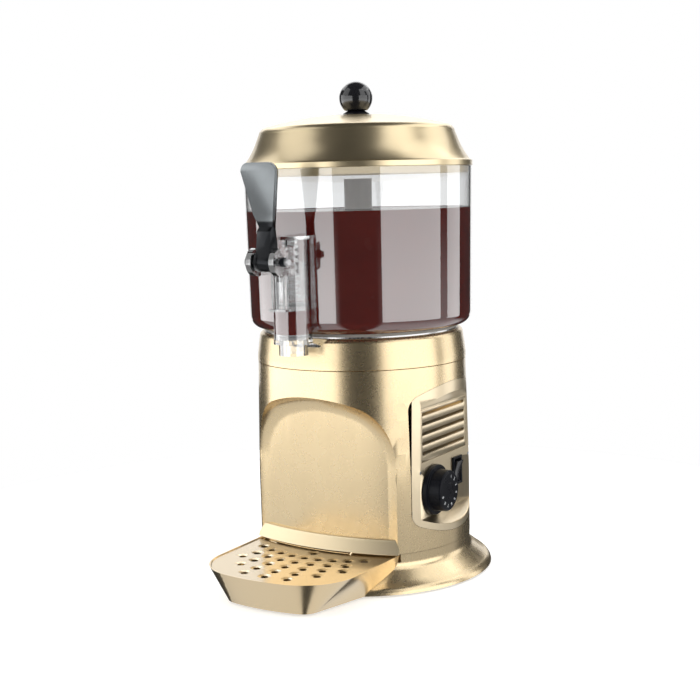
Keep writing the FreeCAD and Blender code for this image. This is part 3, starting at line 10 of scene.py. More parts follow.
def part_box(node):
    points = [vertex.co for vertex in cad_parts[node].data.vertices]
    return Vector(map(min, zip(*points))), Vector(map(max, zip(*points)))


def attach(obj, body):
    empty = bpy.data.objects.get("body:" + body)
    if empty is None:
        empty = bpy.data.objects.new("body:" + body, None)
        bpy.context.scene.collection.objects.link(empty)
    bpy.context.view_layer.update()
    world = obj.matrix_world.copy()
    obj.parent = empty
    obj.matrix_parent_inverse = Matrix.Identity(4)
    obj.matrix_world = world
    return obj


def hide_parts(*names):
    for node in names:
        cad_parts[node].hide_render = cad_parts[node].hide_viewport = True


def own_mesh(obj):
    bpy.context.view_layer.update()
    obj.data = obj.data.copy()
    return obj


# The looks of a hot chocolate dispenser. Lengths in this script are millimetres until
# a mesh is made; the scene itself is in metres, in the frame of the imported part.

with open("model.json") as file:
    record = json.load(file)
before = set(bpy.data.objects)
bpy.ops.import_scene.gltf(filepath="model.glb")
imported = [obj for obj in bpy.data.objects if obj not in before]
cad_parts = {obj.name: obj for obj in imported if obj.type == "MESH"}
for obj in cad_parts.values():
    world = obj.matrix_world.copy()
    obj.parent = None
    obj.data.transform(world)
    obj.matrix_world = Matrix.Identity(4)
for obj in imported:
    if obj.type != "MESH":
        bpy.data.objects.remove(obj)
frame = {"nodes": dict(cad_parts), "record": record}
NODES = frame["nodes"]
JOINTS = {joint["name"]: joint for joint in frame["record"]["behaviour"]["joints"]}
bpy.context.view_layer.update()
MM = 0.001


def span(node, axis):
    """How far a node reaches along an axis at rest, in millimetres."""
    place = "XYZ".index(axis)
    return [round(corner[place] / MM, 2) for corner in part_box(node)]


def pivot(joint):
    """A point on a hinge's axis, in millimetres."""
    return [round(value / MM, 2) for value in JOINTS[joint]["pos_m"]]


# ---------------------------------------------------------------- mesh tools

def placed(name, data):
    """A new object in the scene."""
    item = bpy.data.objects.new(name, data)
    bpy.context.scene.collection.objects.link(item)
    return item


def solid(name, verts, faces):
    """A mesh object from points in millimetres, with its faces turned outward."""
    mesh = bpy.data.meshes.new(name)
    mesh.from_pydata((np.asarray(verts, float) * MM).tolist(), [], faces)
    work = bmesh.new()
    work.from_mesh(mesh)
    bmesh.ops.recalc_face_normals(work, faces=work.faces)
    work.to_mesh(mesh)
    work.free()
    return placed(name, mesh)


# an arc's steps needn't be finer than this many degrees, once it has this many of them
FINEST_TURN, ENOUGH_STEPS = 1.5, 6


def run(outline, chord=1.5, turn=8.0):
    """A closed outline as points. A corner (a, b, radius) is reached by an arc: + turns left."""
    points = []
    for index, start in enumerate(outline):
        end = outline[(index + 1) % len(outline)]
        points.append((start[0], start[1]))
        if len(end) < 3:
            continue
        radius = end[2]
        half = ((end[0] - start[0]) / 2, (end[1] - start[1]) / 2)
        length = math.hypot(*half)
        reach = math.sqrt(max(radius * radius - length * length, 0.0)) / length
        side = 1 if radius > 0 else -1
        cx = start[0] + half[0] - half[1] * reach * side
        cy = start[1] + half[1] + half[0] * reach * side
        first = math.atan2(start[1] - cy, start[0] - cx)
        last = math.atan2(end[1] - cy, end[0] - cx)
        if radius > 0 and last < first:
            last += math.tau
        if radius < 0 and last > first:
            last -= math.tau
        sweep = abs(last - first)
        steps = max(2, math.ceil(abs(radius) * sweep / chord), math.ceil(math.degrees(sweep) / turn))
        steps = min(steps, max(ENOUGH_STEPS, math.ceil(math.degrees(sweep) / FINEST_TURN)))
        for step in range(1, steps):
            angle = first + (last - first) * step / steps
            points.append((cx + abs(radius) * math.cos(angle), cy + abs(radius) * math.sin(angle)))
    return points


def lathe(name, outline, segments=128, along="Z", at=(0, 0, 0), chord=1.5, turn=8.0):
    """A turned solid. Points are (radius, z) about Z, (x, radius) about X, (y, radius) about Y."""
    verts, rings, faces = [], [], []
    for a, b in run(outline, chord, turn):
        radius, height = (a, b) if along == "Z" else (b, a)
        ring = []
        count = segments if abs(radius) > 1e-6 else 1
        for step in range(count):
            angle = math.tau * step / segments
            u, v = radius * math.cos(angle), radius * math.sin(angle)
            point = {"Z": (u, v, height), "X": (height, u, v), "Y": (u, height, v)}[along]
            ring.append(len(verts))
            verts.append([p + q for p, q in zip(point, at)])
        rings.append(ring)
    for index, ring in enumerate(rings):
        other = rings[(index + 1) % len(rings)]
        if len(ring) == 1 and len(other) == 1:
            continue
        for step in range(segments):
            after = (step + 1) % segments
            if len(ring) == 1:
                faces.append((ring[0], other[after], other[step]))
            elif len(other) == 1:
                faces.append((ring[step], ring[after], other[0]))
            else:
                faces.append((ring[step], ring[after], other[after], other[step]))
    return solid(name, verts, faces)


def rod(name, radius, low, high, at, along="Z", segments=64):
    """A round bar between two heights along its axis."""
    outline = [(0, low), (radius, low), (radius, high), (0, high)]
    if along != "Z":
        outline = [(b, a) for a, b in outline]
    spot = {"Z": (at[0], at[1], 0), "X": (0, at[0], at[1]), "Y": (at[0], 0, at[1])}[along]
    return lathe(name, outline, segments, along, spot)


def prism(name, points, low, high, plane):
    """A straight solid over a closed outline; plane says what the outline's pairs are."""
    def at(pair, depth):
        a, b = pair
        return {"XY": (a, b, depth), "XZ": (a, depth, b), "YZ": (depth, a, b)}[plane]
    around = len(points)
    faces = []
    for step in range(around):
        after = (step + 1) % around
        faces.append((step, after, around + after, around + step))
    faces.append(tuple(range(around)))
    faces.append(tuple(range(around, 2 * around)))
    return solid(name, [at(p, low) for p in points] + [at(p, high) for p in points], faces)


def block(name, low, high):
    """A box between two corners."""
    points = [(low[0], low[1]), (high[0], low[1]), (high[0], high[1]), (low[0], high[1])]
    return prism(name, points, low[2], high[2], "XY")


def settle(item):
    """Turn an object's modifiers into its mesh."""
    graph = bpy.context.evaluated_depsgraph_get()
    made = bpy.data.meshes.new_from_object(item.evaluated_get(graph), depsgraph=graph)
    old = item.data
    item.modifiers.clear()
    item.data = made
    bpy.data.meshes.remove(old)
    return item


def combine(item, kind, *tools):
    """Add or cut away each tool by a boolean of that kind, and delete the tools."""
    for tool in tools:
        before = len(item.data.vertices)
        step = item.modifiers.new("step", "BOOLEAN")
        step.operation, step.object, step.solver = kind, tool, "MANIFOLD"
        settle(item)
        if len(item.data.vertices) in (0, before):
            print("boolean left the mesh as it was:", item.name, kind, tool.name)
    for tool in tools:
        bpy.data.objects.remove(tool)
    return item


def joined(name, items):
    """Several separate pieces as one object."""
    work = bmesh.new()
    for item in items:
        work.from_mesh(item.data)
        bpy.data.objects.remove(item)
    mesh = bpy.data.meshes.new(name)
    work.to_mesh(mesh)
    work.free()
    return placed(name, mesh)


def smooth(item, angle):
    """Smooth shading, with a crease where faces meet at more than the angle."""
    item.data.shade_smooth()
    item.data.set_sharp_from_angle(angle=math.radians(angle))
    return item


def weighed(item, angle):
    """Smooth shading in which the large faces keep their own direction."""
    smooth(item, angle)
    step = item.modifiers.new("normals", "WEIGHTED_NORMAL")
    step.mode, step.weight, step.keep_sharp = "FACE_AREA", 100, True
    return item


def eased(item, width):
    """Break the sharp edges with a small round."""
    sharp, rows = 34, 2
    item.data.shade_smooth()
    edge = item.modifiers.new("edge", "BEVEL")
    edge.width, edge.segments = width * MM, rows
    edge.limit_method, edge.angle_limit = "ANGLE", math.radians(sharp)
    edge.use_clamp_overlap = True
    edge.harden_normals = True
    edge.miter_outer = "MITER_ARC"
    return item


def from_solid(name, node, flat=0.4):
    """A clean copy of a CAD node's mesh; faces within flat degrees of each other are joined."""
    same_spot = 0.004
    work = bmesh.new()
    work.from_mesh(NODES[node].data)
    bmesh.ops.remove_doubles(work, verts=work.verts, dist=same_spot * MM)
    bmesh.ops.dissolve_limit(work, angle_limit=math.radians(flat), verts=work.verts,
                             edges=work.edges, use_dissolve_boundaries=False)
    bmesh.ops.recalc_face_normals(work, faces=work.faces)
    mesh = bpy.data.meshes.new(name)
    work.to_mesh(mesh)
    work.free()
    return placed(name, mesh)


# turned faces: the centre that they are turned about, and the least and greatest radius
DRUM = ((0.0, 0.0), 15.0, 210.0)
RECESS = ((0.0, 158.0), 239.5, 249.5)
SILL = ((0.0, 158.0), 225.0, 275.0)
# the upright part of a normal from which its face counts as level, and the least part along
# the floor that the normal of a turned face has
LEVEL, LEAST_FLAT = 0.9995, 0.25
# how well a turned face's normal lines up with its centre, and the most that a normal may rise
TURNED, MOST_RISE = 0.997, 0.9999
LARGE_FACE = 8 * MM * MM


def turned_normals(item, recess=RECESS, large=math.inf):
    """Exact normals on level faces and on those that are turned about the drum's or recess's centre.

    Turned faces of more than large square metres keep their own slope at every corner."""
    smooth(item, 20)
    mesh = item.data
    normals = [Vector(corner.vector) for corner in mesh.corner_normals]
    for face in mesh.polygons:
        if abs(face.normal.z) > LEVEL:
            for loop in face.loop_indices:
                normals[loop] = Vector((0.0, 0.0, math.copysign(1.0, face.normal.z)))
            continue
        flat = Vector(face.normal[:2])
        if flat.length < LEAST_FLAT:
            continue
        flat.normalize()
        spots = [mesh.vertices[index].co / MM for index in face.vertices]
        middle = sum(spots, Vector((0, 0, 0))) / len(spots)
        for centre, low, high in (recess, DRUM):
            reaches = [math.hypot(p.x - centre[0], p.y - centre[1]) for p in spots]
            out = Vector((middle.x - centre[0], middle.y - centre[1])).normalized()
            if min(reaches) < low or max(reaches) > high or abs(out.dot(flat)) < TURNED:
                continue
            side = 1 if out.dot(flat) > 0 else -1
            for loop, spot in zip(face.loop_indices, spots):
                rise = face.normal.z if face.area > large else normals[loop].z
                rise = max(-MOST_RISE, min(MOST_RISE, rise))
                ray = Vector((spot.x - centre[0], spot.y - centre[1])).normalized()
                ray *= side * math.sqrt(1 - rise * rise)
                normals[loop] = Vector((ray.x, ray.y, rise))
            break
    mesh.normals_split_custom_set(normals)
    return item


def dress(item, body, material, stands_for=()):
    """Give a piece its material, its body and the CAD nodes that it stands for."""
    item.data.materials.clear()
    item.data.materials.append(material)
    for face in item.data.polygons:
        face.material_index = 0
    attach(item, body)
    if stands_for:
        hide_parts(*stands_for)
    return item


# ---------------------------------------------------------------- materials

WHITE_LIGHT = (1.0, 1.0, 1.0, 1.0)


def screen(red, green, blue):
    """A colour given as 0 to 255 on screen."""
    def one(value):
        value /= 255
        return value / 12.92 if value <= 0.04045 else ((value + 0.055) / 1.055) ** 2.4
    return (one(red), one(green), one(blue), 1.0)


class Paint:
    """A material with its colour, roughness and bump built from noise in object space."""

    def __init__(self, name, **settings):
        self.material = bpy.data.materials.new(name)
        self.material.use_nodes = True
        self.tree = self.material.node_tree
        self.shader = self.tree.nodes["Principled BSDF"]
        self.where = self.node("ShaderNodeTexCoord").outputs["Object"]
        for label, value in settings.items():
            self.shader.inputs[label.replace("_", " ")].default_value = value
        self.last_normal = None

    def node(self, kind):
        return self.tree.nodes.new(kind)

    def link(self, source, target):
        self.tree.links.new(source, target)

    def stretched(self, scale):
        mapping = self.node("ShaderNodeMapping")
        mapping.inputs["Scale"].default_value = scale
        self.link(self.where, mapping.inputs["Vector"])
        return mapping.outputs["Vector"]

    def height(self):
        """How high the surface is in the piece's own frame, in metres."""
        split = self.node("ShaderNodeSeparateXYZ")
        self.link(self.where, split.inputs[0])
        return split.outputs["Z"]

    def noise(self, size, detail, rough, scale=None):
        """Noise whose features are about size millimetres across."""
        made = self.node("ShaderNodeTexNoise")
        made.inputs["Scale"].default_value = 1.0 / (size * MM)
        made.inputs["Detail"].default_value = detail
        made.inputs["Roughness"].default_value = rough
        self.link(self.stretched(scale) if scale else self.where, made.inputs["Vector"])
        return made.outputs["Fac"]

    def spread(self, source, low, high, start=0.3, end=0.7):
        """From low to high as the source goes from start to end."""
        made = self.node("ShaderNodeMapRange")
        for label, value in (("From Min", start), ("From Max", end), ("To Min", low), ("To Max", high)):
            made.inputs[label].default_value = value
        self.link(source, made.inputs["Value"])
        return made.outputs["Result"]

    def colours(self, source, first, second, start=0.3, end=0.7):
        """From one colour to another as the source goes from start to end."""
        ramp = self.node("ShaderNodeValToRGB")
        for element, place, colour in zip(ramp.color_ramp.elements, (start, end), (first, second)):
            element.position, element.color = place, colour
        self.link(source, ramp.inputs["Fac"])
        return ramp.outputs["Color"]

    def blend(self, amount, first, second, mode="MIX"):
        made = self.node("ShaderNodeMix")
        made.data_type, made.blend_type = "RGBA", mode
        for value, socket in ((amount, 0), (first, 6), (second, 7)):
            if isinstance(value, bpy.types.NodeSocket):
                self.link(value, made.inputs[socket])
            else:
                made.inputs[socket].default_value = value
        return made.outputs[2]

    def bump(self, source, depth, strength):
        """Raise the surface by up to depth millimetres where the source is bright."""
        made = self.node("ShaderNodeBump")
        made.inputs["Strength"].default_value = strength
        made.inputs["Distance"].default_value = depth * MM
        self.link(source, made.inputs["Height"])
        if self.last_normal is not None:
            self.link(self.last_normal, made.inputs["Normal"])
        self.last_normal = made.outputs["Normal"]

    def done(self, colour, roughness):
        self.link(colour, self.shader.inputs["Base Color"])
        self.link(roughness, self.shader.inputs["Roughness"])
        self.link(self.last_normal, self.shader.inputs["Normal"])
        return self.material


def gold_paint(name, light, dark, rough, coat=0.3, flake=0.015, coat_rough=0.08):
    """Metallic paint: fine flakes, a faint orange peel and slightly cloudy roughness."""
    drift, cloud, peel, grain = 60.0, 14.0, 2.6, 0.35
    paint = Paint(name, Metallic=1.0, Coat_Weight=coat, Coat_Roughness=coat_rough)
    base = paint.colours(paint.noise(drift, 2.0, 0.5), dark, light)
    flakes = paint.noise(grain, 1.0, 0.6)
    tint = paint.colours(flakes, (1 - flake * 2,) * 3 + (1,), WHITE_LIGHT, 0.35, 0.6)
    colour = paint.blend(1.0, base, tint, "MULTIPLY")
    roughness = paint.spread(paint.noise(cloud, 4.0, 0.6), rough - 0.01, rough + 0.015)
    paint.bump(paint.noise(peel, 2.0, 0.5), 0.001, 0.35)
    paint.bump(flakes, 0.0004, 0.2)
    return paint.done(colour, roughness)


def moulded(name, light, dark, rough, grain, depth, coat=0.0, shine=0.5):
    """Moulded plastic: slight mottling and a fine texture."""
    mottle, cloud = 22.0, 9.0
    paint = Paint(name, Coat_Weight=coat, Coat_Roughness=0.06, IOR=1.5, Specular_IOR_Level=shine)
    colour = paint.colours(paint.noise(mottle, 4.0, 0.6), dark, light)
    roughness = paint.spread(paint.noise(cloud, 4.0, 0.65), rough - 0.05, rough + 0.07)
    paint.bump(paint.noise(grain, 2.0, 0.6), depth, 0.5)
    return paint.done(colour, roughness)


def clear_plastic(name, tint, rough, coat, coat_ior):
    """Clear polycarbonate: a faint tint, faint wipe marks and slight mould flow."""
    streak, wipe, ripple = 45.0, 40.0, 60.0
    paint = Paint(name, Transmission_Weight=1.0, IOR=1.5, Coat_Weight=coat, Coat_IOR=coat_ior,
                  Coat_Roughness=0.012)
    flow = paint.noise(streak, 2.0, 0.4, (1.0, 1.0, 0.4))
    colour = paint.colours(flow, tint, WHITE_LIGHT, 0.2, 0.8)
    marks = paint.noise(wipe, 3.0, 0.5, (1.0, 1.0, 0.3))
    roughness = paint.spread(marks, rough, rough + 0.006, 0.45, 0.8)
    paint.bump(paint.noise(ripple, 1.0, 0.3), 0.01, 0.1)
    return paint.done(colour, roughness)


def metal(name, light, dark, rough, grain, depth, brush=None):
    """Bare metal with its brushing or plating."""
    patch = 12.0
    paint = Paint(name, Metallic=1.0)
    lines = paint.noise(grain, 3.0, 0.6, brush)
    colour = paint.colours(paint.noise(patch, 4.0, 0.6), dark, light)
    roughness = paint.spread(lines, rough - 0.06, rough + 0.08)
    paint.bump(lines, depth, 0.5)
    return paint.done(colour, roughness)


def chocolate_drink(name):
    """Thick drinking chocolate against the wall: smooth, dark red-brown, faintly streaked."""
    streak, cloud = 60.0, 20.0
    paint = Paint(name, IOR=1.36, Specular_IOR_Level=0.1)
    streaks = paint.noise(streak, 2.0, 0.5, (1.0, 1.0, 2.0))
    colour = paint.colours(streaks, screen(102, 27, 19), screen(108, 31, 22), 0.35)
    roughness = paint.spread(paint.noise(cloud, 2.0, 0.5), 0.24, 0.28)
    paint.bump(streaks, 0.02, 0.1)
    return paint.done(colour, roughness)


def lever_finish(name, paddle_foot, soft=2.0):
    """Black plastic lever: on the paddle a grey metal under a clear coat paints on its sheen, and below the
    paddle's foot it is plain black.
    """
    fine, patch = 0.8, 18.0
    # light and dark: the paddle's painted sheen, as grey metal; below: the lever's own black
    light, dark, below = (0.16, 0.172, 0.178, 1), (0.145, 0.156, 0.162, 1), (0.014, 0.015, 0.017, 1)
    paint = Paint(name, Metallic=1.0, Coat_Weight=0.15, Coat_Roughness=0.08)
    grain = paint.noise(fine, 2.0, 0.5)
    face = paint.colours(paint.noise(patch, 3.0, 0.5), dark, light)
    above = paint.spread(paint.height(), 0.0, 1.0, paddle_foot * MM, (paddle_foot + soft) * MM)
    colour = paint.blend(above, below, face)
    roughness = paint.spread(grain, 0.23, 0.27)
    paint.bump(grain, 0.002, 0.3)
    return paint.done(colour, roughness)


# most have a light and a dark colour and a roughness, then plastic and metal the grain's size and depth
GOLD = gold_paint("gold_paint", (0.765, 0.61, 0.375, 1), (0.745, 0.59, 0.36, 1), 0.27)
LID_GOLD = gold_paint("gold_lid", (0.79, 0.655, 0.42, 1), (0.77, 0.635, 0.40, 1), 0.3, 0.3, 0.01, 0.1)
TRAY_GOLD = gold_paint("gold_tray", (0.80, 0.64, 0.41, 1), (0.78, 0.62, 0.39, 1), 0.2, 0.4, 0.01, 0.05)
GRILLE_GOLD = gold_paint("gold_grille", (0.73, 0.60, 0.41, 1), (0.71, 0.58, 0.39, 1), 0.24)
# the sill's copy of the body's gold paint: its paler tone is painted light on the sill
SILL_PAINTED_LIGHT = gold_paint("gold_sill_painted_light", (0.79, 0.66, 0.44, 1), (0.77, 0.64, 0.42, 1), 0.4, 0.2)
PANEL_GOLD = gold_paint("panel_gold", (0.84, 0.71, 0.50, 1), (0.82, 0.69, 0.48, 1), 0.34)
CLEAR_BOWL = clear_plastic("clear_bowl", (0.965, 0.975, 0.98, 1), 0.0, 1.0, 2.15)
CLEAR_TAP = clear_plastic("clear_tap", (0.95, 0.96, 0.965, 1), 0.01, 0.6, 1.8)
CHOCOLATE = chocolate_drink("drinking_chocolate")
BLACK_GLOSS = moulded("black_gloss", (0.012, 0.012, 0.014, 1), (0.008, 0.008, 0.01, 1), 0.14, 1.2, 0.004,
                      coat=0.6)
# the paddle's grey metal is a painted sheen on the black plastic lever
LEVER_PAINTED_SHEEN = lever_finish("lever_painted_sheen", 358.0)
BLACK_SATIN = moulded("black_satin", (0.006, 0.007, 0.01, 1), (0.004, 0.004, 0.006, 1), 0.3, 0.5, 0.006,
                      shine=0.12)
RUBBER = moulded("rubber", (0.035, 0.035, 0.035, 1), (0.025, 0.025, 0.025, 1), 0.65, 0.6, 0.03)
SEAL = moulded("seal_rubber", (0.30, 0.28, 0.25, 1), (0.24, 0.225, 0.20, 1), 0.5, 1.0, 0.02)
WHITE = moulded("white_stirrer", (0.80, 0.80, 0.78, 1), (0.74, 0.74, 0.72, 1), 0.32, 0.8, 0.008)
BEIGE = moulded("beige_plastic", (0.62, 0.55, 0.42, 1), (0.56, 0.49, 0.37, 1), 0.42, 0.6, 0.01)
MARKS = moulded("dial_print", (0.72, 0.74, 0.76, 1), (0.62, 0.64, 0.66, 1), 0.45, 0.4, 0.004)
STEEL = metal("steel", (0.62, 0.62, 0.63, 1), (0.54, 0.54, 0.55, 1), 0.24, 0.5, 0.004, (1.0, 1.0, 0.08))
ZINC = metal("zinc", (0.60, 0.61, 0.62, 1), (0.50, 0.51, 0.53, 1), 0.3, 3.0, 0.01)
ALLOY = metal("alloy", (0.58, 0.58, 0.58, 1), (0.50, 0.50, 0.50, 1), 0.42, 1.0, 0.03)

# pieces that keep their CAD mesh
KEPT = (
    (ZINC, "base_plate base_screws panel_screws motor_plate motor_screws plate_pillars lid_screw"),
    (STEEL, "thermostat_spindle water_bath_pan pivot_pin drive_shaft motor"),
    (ALLOY, "heating_element gearbox"),
    (RUBBER, "rubber_feet piston_rings"),
    (SEAL, "bowl_seal"),
    (BEIGE, "thermostat_body shaft_bush terminal_block"),
    (BLACK_SATIN, "limit_thermostat pin_clip inlet_gland knob_washer"),
    (CLEAR_TAP, "tap_cap tap_piston"),
)
for material, names in KEPT:
    for name in names.split():
        mesh = NODES[name].data
        if not mesh.materials:
            mesh.materials.append(material)
        for place in range(len(mesh.materials)):
            mesh.materials[place] = material


# ---------------------------------------------------------------- base

def collar_piece():
    """The turned collar under the bowl, with a soft-sided notch for the tap."""
    low, high = span("collar_ring", "Z")
    outer, neck, bore = span("collar_ring", "X")[1], 103.8, 93.2
    wall, corner, edge, skirt = 3.0, 5.5, 0.6, 6.5
    waist, shoulder = low + skirt, high - corner
    ring = lathe("collar_skin", [
        (outer, low + edge), (outer, waist), (neck, shoulder), (neck - corner, high, corner),
        (bore + edge, high), (bore, high - edge, edge), (bore, high - wall),
        (neck - corner, high - wall), (neck - wall, shoulder - wall), (outer - wall, waist),
        (outer - wall, low), (outer - edge, low)], 192, turn=6)
    # the notch: its half width below, how its sides lean out as they rise, and its depth
    half, slope, depth, rise, steps = 14.0, 11.0, 8.0, 9.2, 16
    side = []
    for step in range(steps + 1):
        share = step / steps
        side.append((half + slope * share, high - depth + rise * (3 * share ** 2 - 2 * share ** 3)))
    outline = [(-x, z) for x, z in reversed(side)] + side
    front, back = -140, -99
    combine(ring, "DIFFERENCE", prism("notch", outline, front, back, "XZ"))
    weighed(ring, 30)
    dress(ring, "base", GOLD, ["collar_ring"])


def turned_pieces():
    """Pieces whose large faces are turned: their CAD form with exact normals."""
    for name, node, body, material, slot, turned in (
            ("flange_skin", "base_flange", "base", GOLD, "gold_body", ()),
            ("body_skin", "body_shell", "base", GOLD, "gold_body", ()),
            ("recess_sill", "recess_lip", "base", SILL_PAINTED_LIGHT, "gold_body", (SILL, LARGE_FACE)),
            ("panel_skin", "control_panel", "base", PANEL_GOLD, "panel", ()),
            ("tray_skin", "drip_tray", "tray", TRAY_GOLD, "gold_tray", ())):
        dress(turned_normals(from_solid(name, node), *turned), body, material, [node])


def plain_pieces():
    """Pieces whose CAD form is right: their edges are broken and their faces finished."""
    for name, node, width, body, material, slot in (
            ("louvre_skin", "louvre_grille", 0.5, "base", PANEL_GOLD, "panel"),
            ("lever_skin", "tap_lever", 0.8, "lever", LEVER_PAINTED_SHEEN, "black_gloss"),
            ("stirrer_skin", "stirrer", 0.4, "stirrer", WHITE, "white_stirrer"),
            ("switch_frame", "switch_housing", 0.5, "base", BLACK_SATIN, "black_satin"),
            ("rocker_key", "switch_rocker", 0.5, "rocker", BLACK_GLOSS, "black_gloss")):
        dress(eased(from_solid(name, node), width), body, material, [node])


def grille_piece():
    """The drip grille: crisp dimples in a flat sheet."""
    sheet = weighed(from_solid("grille_skin", "drip_grille", 0.1), 20)
    dress(sheet, "grille", GRILLE_GOLD, ["drip_grille"])


# ---------------------------------------------------------------- dial

def digit(number, spot, angle):
    """A number raised on the dial's face, with its foot towards the dial's axis."""
    tall, raised = 4.6, 0.05
    # the text's right, top and face go along Y, Z and X
    upright = Matrix(((0, 0, 1, 0), (1, 0, 0, 0), (0, 1, 0, 0), (0, 0, 0, 1)))
    text = bpy.data.curves.new("digit%d" % number, "FONT")
    text.body, text.size, text.extrude = str(number), tall * MM, raised * MM
    text.align_x, text.align_y = "CENTER", "CENTER"
    holder = placed("digit%d" % number, text)
    turn = Matrix.Rotation(angle - math.pi / 2, 4, "X") @ upright
    holder.matrix_world = Matrix.Translation(Vector([value * MM for value in spot])) @ turn
    graph = bpy.context.evaluated_depsgraph_get()
    mesh = bpy.data.meshes.new_from_object(holder.evaluated_get(graph), depsgraph=graph)
    mesh.transform(holder.matrix_world)
    bpy.data.objects.remove(holder)
    return placed("mark%d" % number, mesh)


def dial_marks(face, y, z):
    """The numbers 1 to 9 in a ring on the dial's face."""
    count, first, step = 9, 75.0, 30.0
    ring, sunk = 14.2, 0.02
    marks = []
    for index in range(count):
        angle = math.radians(first - step * index)
        spot = (face - sunk, y + ring * math.cos(angle), z + ring * math.sin(angle))
        marks.append(digit(index + 1, spot, angle))
    dress(joined("dial_marks", marks), "dial", MARKS)


def dial_piece():
    """The thermostat knob: a flat skirt, a plain round grip and a shallow hollow in its face."""
    start, end = span("thermostat_dial", "X")
    y, z = pivot("dial_turn")[1:]
    rim, grip, dish = 25.0, 20.2, 8.0
    skirt, edge, corner, sink = start + 4.5, 1.0, 2.5, 0.8
    blunt, blunt_round, rim_end, ease, root = 0.6, 0.7, rim - 0.3, 0.4, grip + 0.7
    knob = lathe("dial_knob", [
        (start, 0), (start, rim - edge), (start + edge, rim, -edge), (skirt - blunt, rim_end),
        (skirt, rim_end - blunt, -blunt_round), (skirt, root + ease), (skirt + ease, root),
        (end - corner, grip), (end, grip - corner, -corner), (end, dish),
        (end - sink, dish - sink), (end - sink, 0)], 144, "X", (0, y, z), 1.0)
    smooth(knob, 40)
    dress(knob, "dial", BLACK_SATIN, ["thermostat_dial"])
    dial_marks(end, y, z)


# ---------------------------------------------------------------- bowl, tap and drink

# bowl: heights and radii of the outside; the inside lies a wall further in
BOWL_LOW, BOWL_TOP = span("bowl", "Z")
RIM, BELLY, WELL = span("bowl", "X")[1], 113.2, 89.0
WALL, CORNER, FOOT = 3.0, 13.0, BOWL_LOW + 47.0
# tap: the barrel's axis as (x, y), its heights and radii, and the lever's pivot as (y, z)
TAP = (0.0, -124.5)
TAP_LOW, TAP_TOP, NOZZLE_LOW = FOOT - 2.0, span("tap_body", "Z")[1], span("tap_body", "Z")[0]
TAP_RADIUS, TAP_BORE = 18.0, 14.5
PIVOT = tuple(pivot("tap_lever_pull")[1:])


def vessel_piece():
    """The turned bowl with its well and the chimney for the drive shaft."""
    chimney, bore, chimney_top = 10.0, 7.5, FOOT + 130.7
    lip, ease, edge = 0.5, 0.4, 1.0
    return lathe("bowl_skin", [
        (bore, BOWL_LOW), (WELL - edge, BOWL_LOW), (WELL, BOWL_LOW + edge, edge), (WELL, FOOT),
        (BELLY - CORNER, FOOT), (BELLY, FOOT + CORNER, CORNER), (RIM, BOWL_TOP - lip),
        (RIM - lip, BOWL_TOP, lip), (RIM - WALL + ease, BOWL_TOP),
        (RIM - WALL, BOWL_TOP - ease, lip), (BELLY - WALL, FOOT + CORNER),
        (BELLY - CORNER, FOOT + WALL, WALL - CORNER), (WELL - WALL, FOOT + WALL),
        (WELL - WALL, BOWL_LOW + WALL), (chimney, BOWL_LOW + WALL), (chimney, chimney_top),
        (bore, chimney_top)], 256, chord=1.6, turn=5)


def tap_parts():
    """What the tap adds to the bowl: barrel, nozzle, channel and the two pivot ears."""
    nozzle, ring, ring_tall, lap = 14.0, 18.7, 4.0, 0.5
    plate_low, plate_tall, channel_tall = FOOT + 26.0, 2.2, 34.0
    plate_half, plate_front, channel_half, channel_front, back = 9.0, -149.5, 7.5, -147.5, -139.0
    ear, ear_thick, ear_inner, ear_back = 13.0, 5.5, 10.0, -134.5
    parts = [
        rod("tap_barrel", TAP_RADIUS, TAP_LOW, TAP_TOP, TAP, segments=96),
        rod("tap_nozzle", nozzle, NOZZLE_LOW, TAP_LOW + lap, TAP, segments=96),
        rod("tap_ring", ring, TAP_LOW - ring_tall, TAP_LOW, TAP, segments=96),
        block("tap_plate", (-plate_half, plate_front, plate_low),
              (plate_half, back, plate_low + plate_tall)),
        block("tap_channel", (-channel_half, channel_front, plate_low),
              (channel_half, back, plate_low + channel_tall)),
    ]
    for start in (-ear_inner - ear_thick, ear_inner):
        end = start + ear_thick
        parts.append(rod("ear_disc", ear, start, end, PIVOT, "X", 64))
        parts.append(block("ear_arm", (start, PIVOT[0], PIVOT[1] - ear), (end, ear_back, PIVOT[1] + ear)))
    return parts


def tap_cuts():
    """What is cut out of the tap: bore, spout, port from the bowl, lever slot and pin hole."""
    spout, port, port_back, port_height = 9.5, 8.0, -92.0, FOOT + 14.0
    half, front, slot_low, groove_low, groove_back = 5.5, -148.5, FOOT + 53.0, FOOT + 28.2, -142.5
    pin, pin_half, past, bore_past = 3.0, 17.0, 1.0, 0.6
    return [
        rod("bore", TAP_BORE, TAP_LOW, TAP_TOP + bore_past, TAP, segments=96),
        rod("spout", spout, NOZZLE_LOW - past, TAP_LOW + past, TAP, segments=96),
        rod("port", port, TAP[1], port_back, (0, port_height), "Y", 64),
        block("slot", (-half, front, slot_low), (half, TAP[1], TAP_TOP + past)),
        block("groove", (-half, front, groove_low), (half, groove_back, TAP_TOP + past)),
        rod("pin_way", pin, -pin_half, pin_half, PIVOT, "X", 48),
    ]


def bowl_piece():
    """The bowl and the tap as one clear moulding."""
    vessel = vessel_piece()
    combine(vessel, "UNION", *tap_parts())
    combine(vessel, "DIFFERENCE", *tap_cuts())
    weighed(vessel, 28)
    dress(vessel, "bowl", CLEAR_BOWL, ["bowl", "tap_body"])


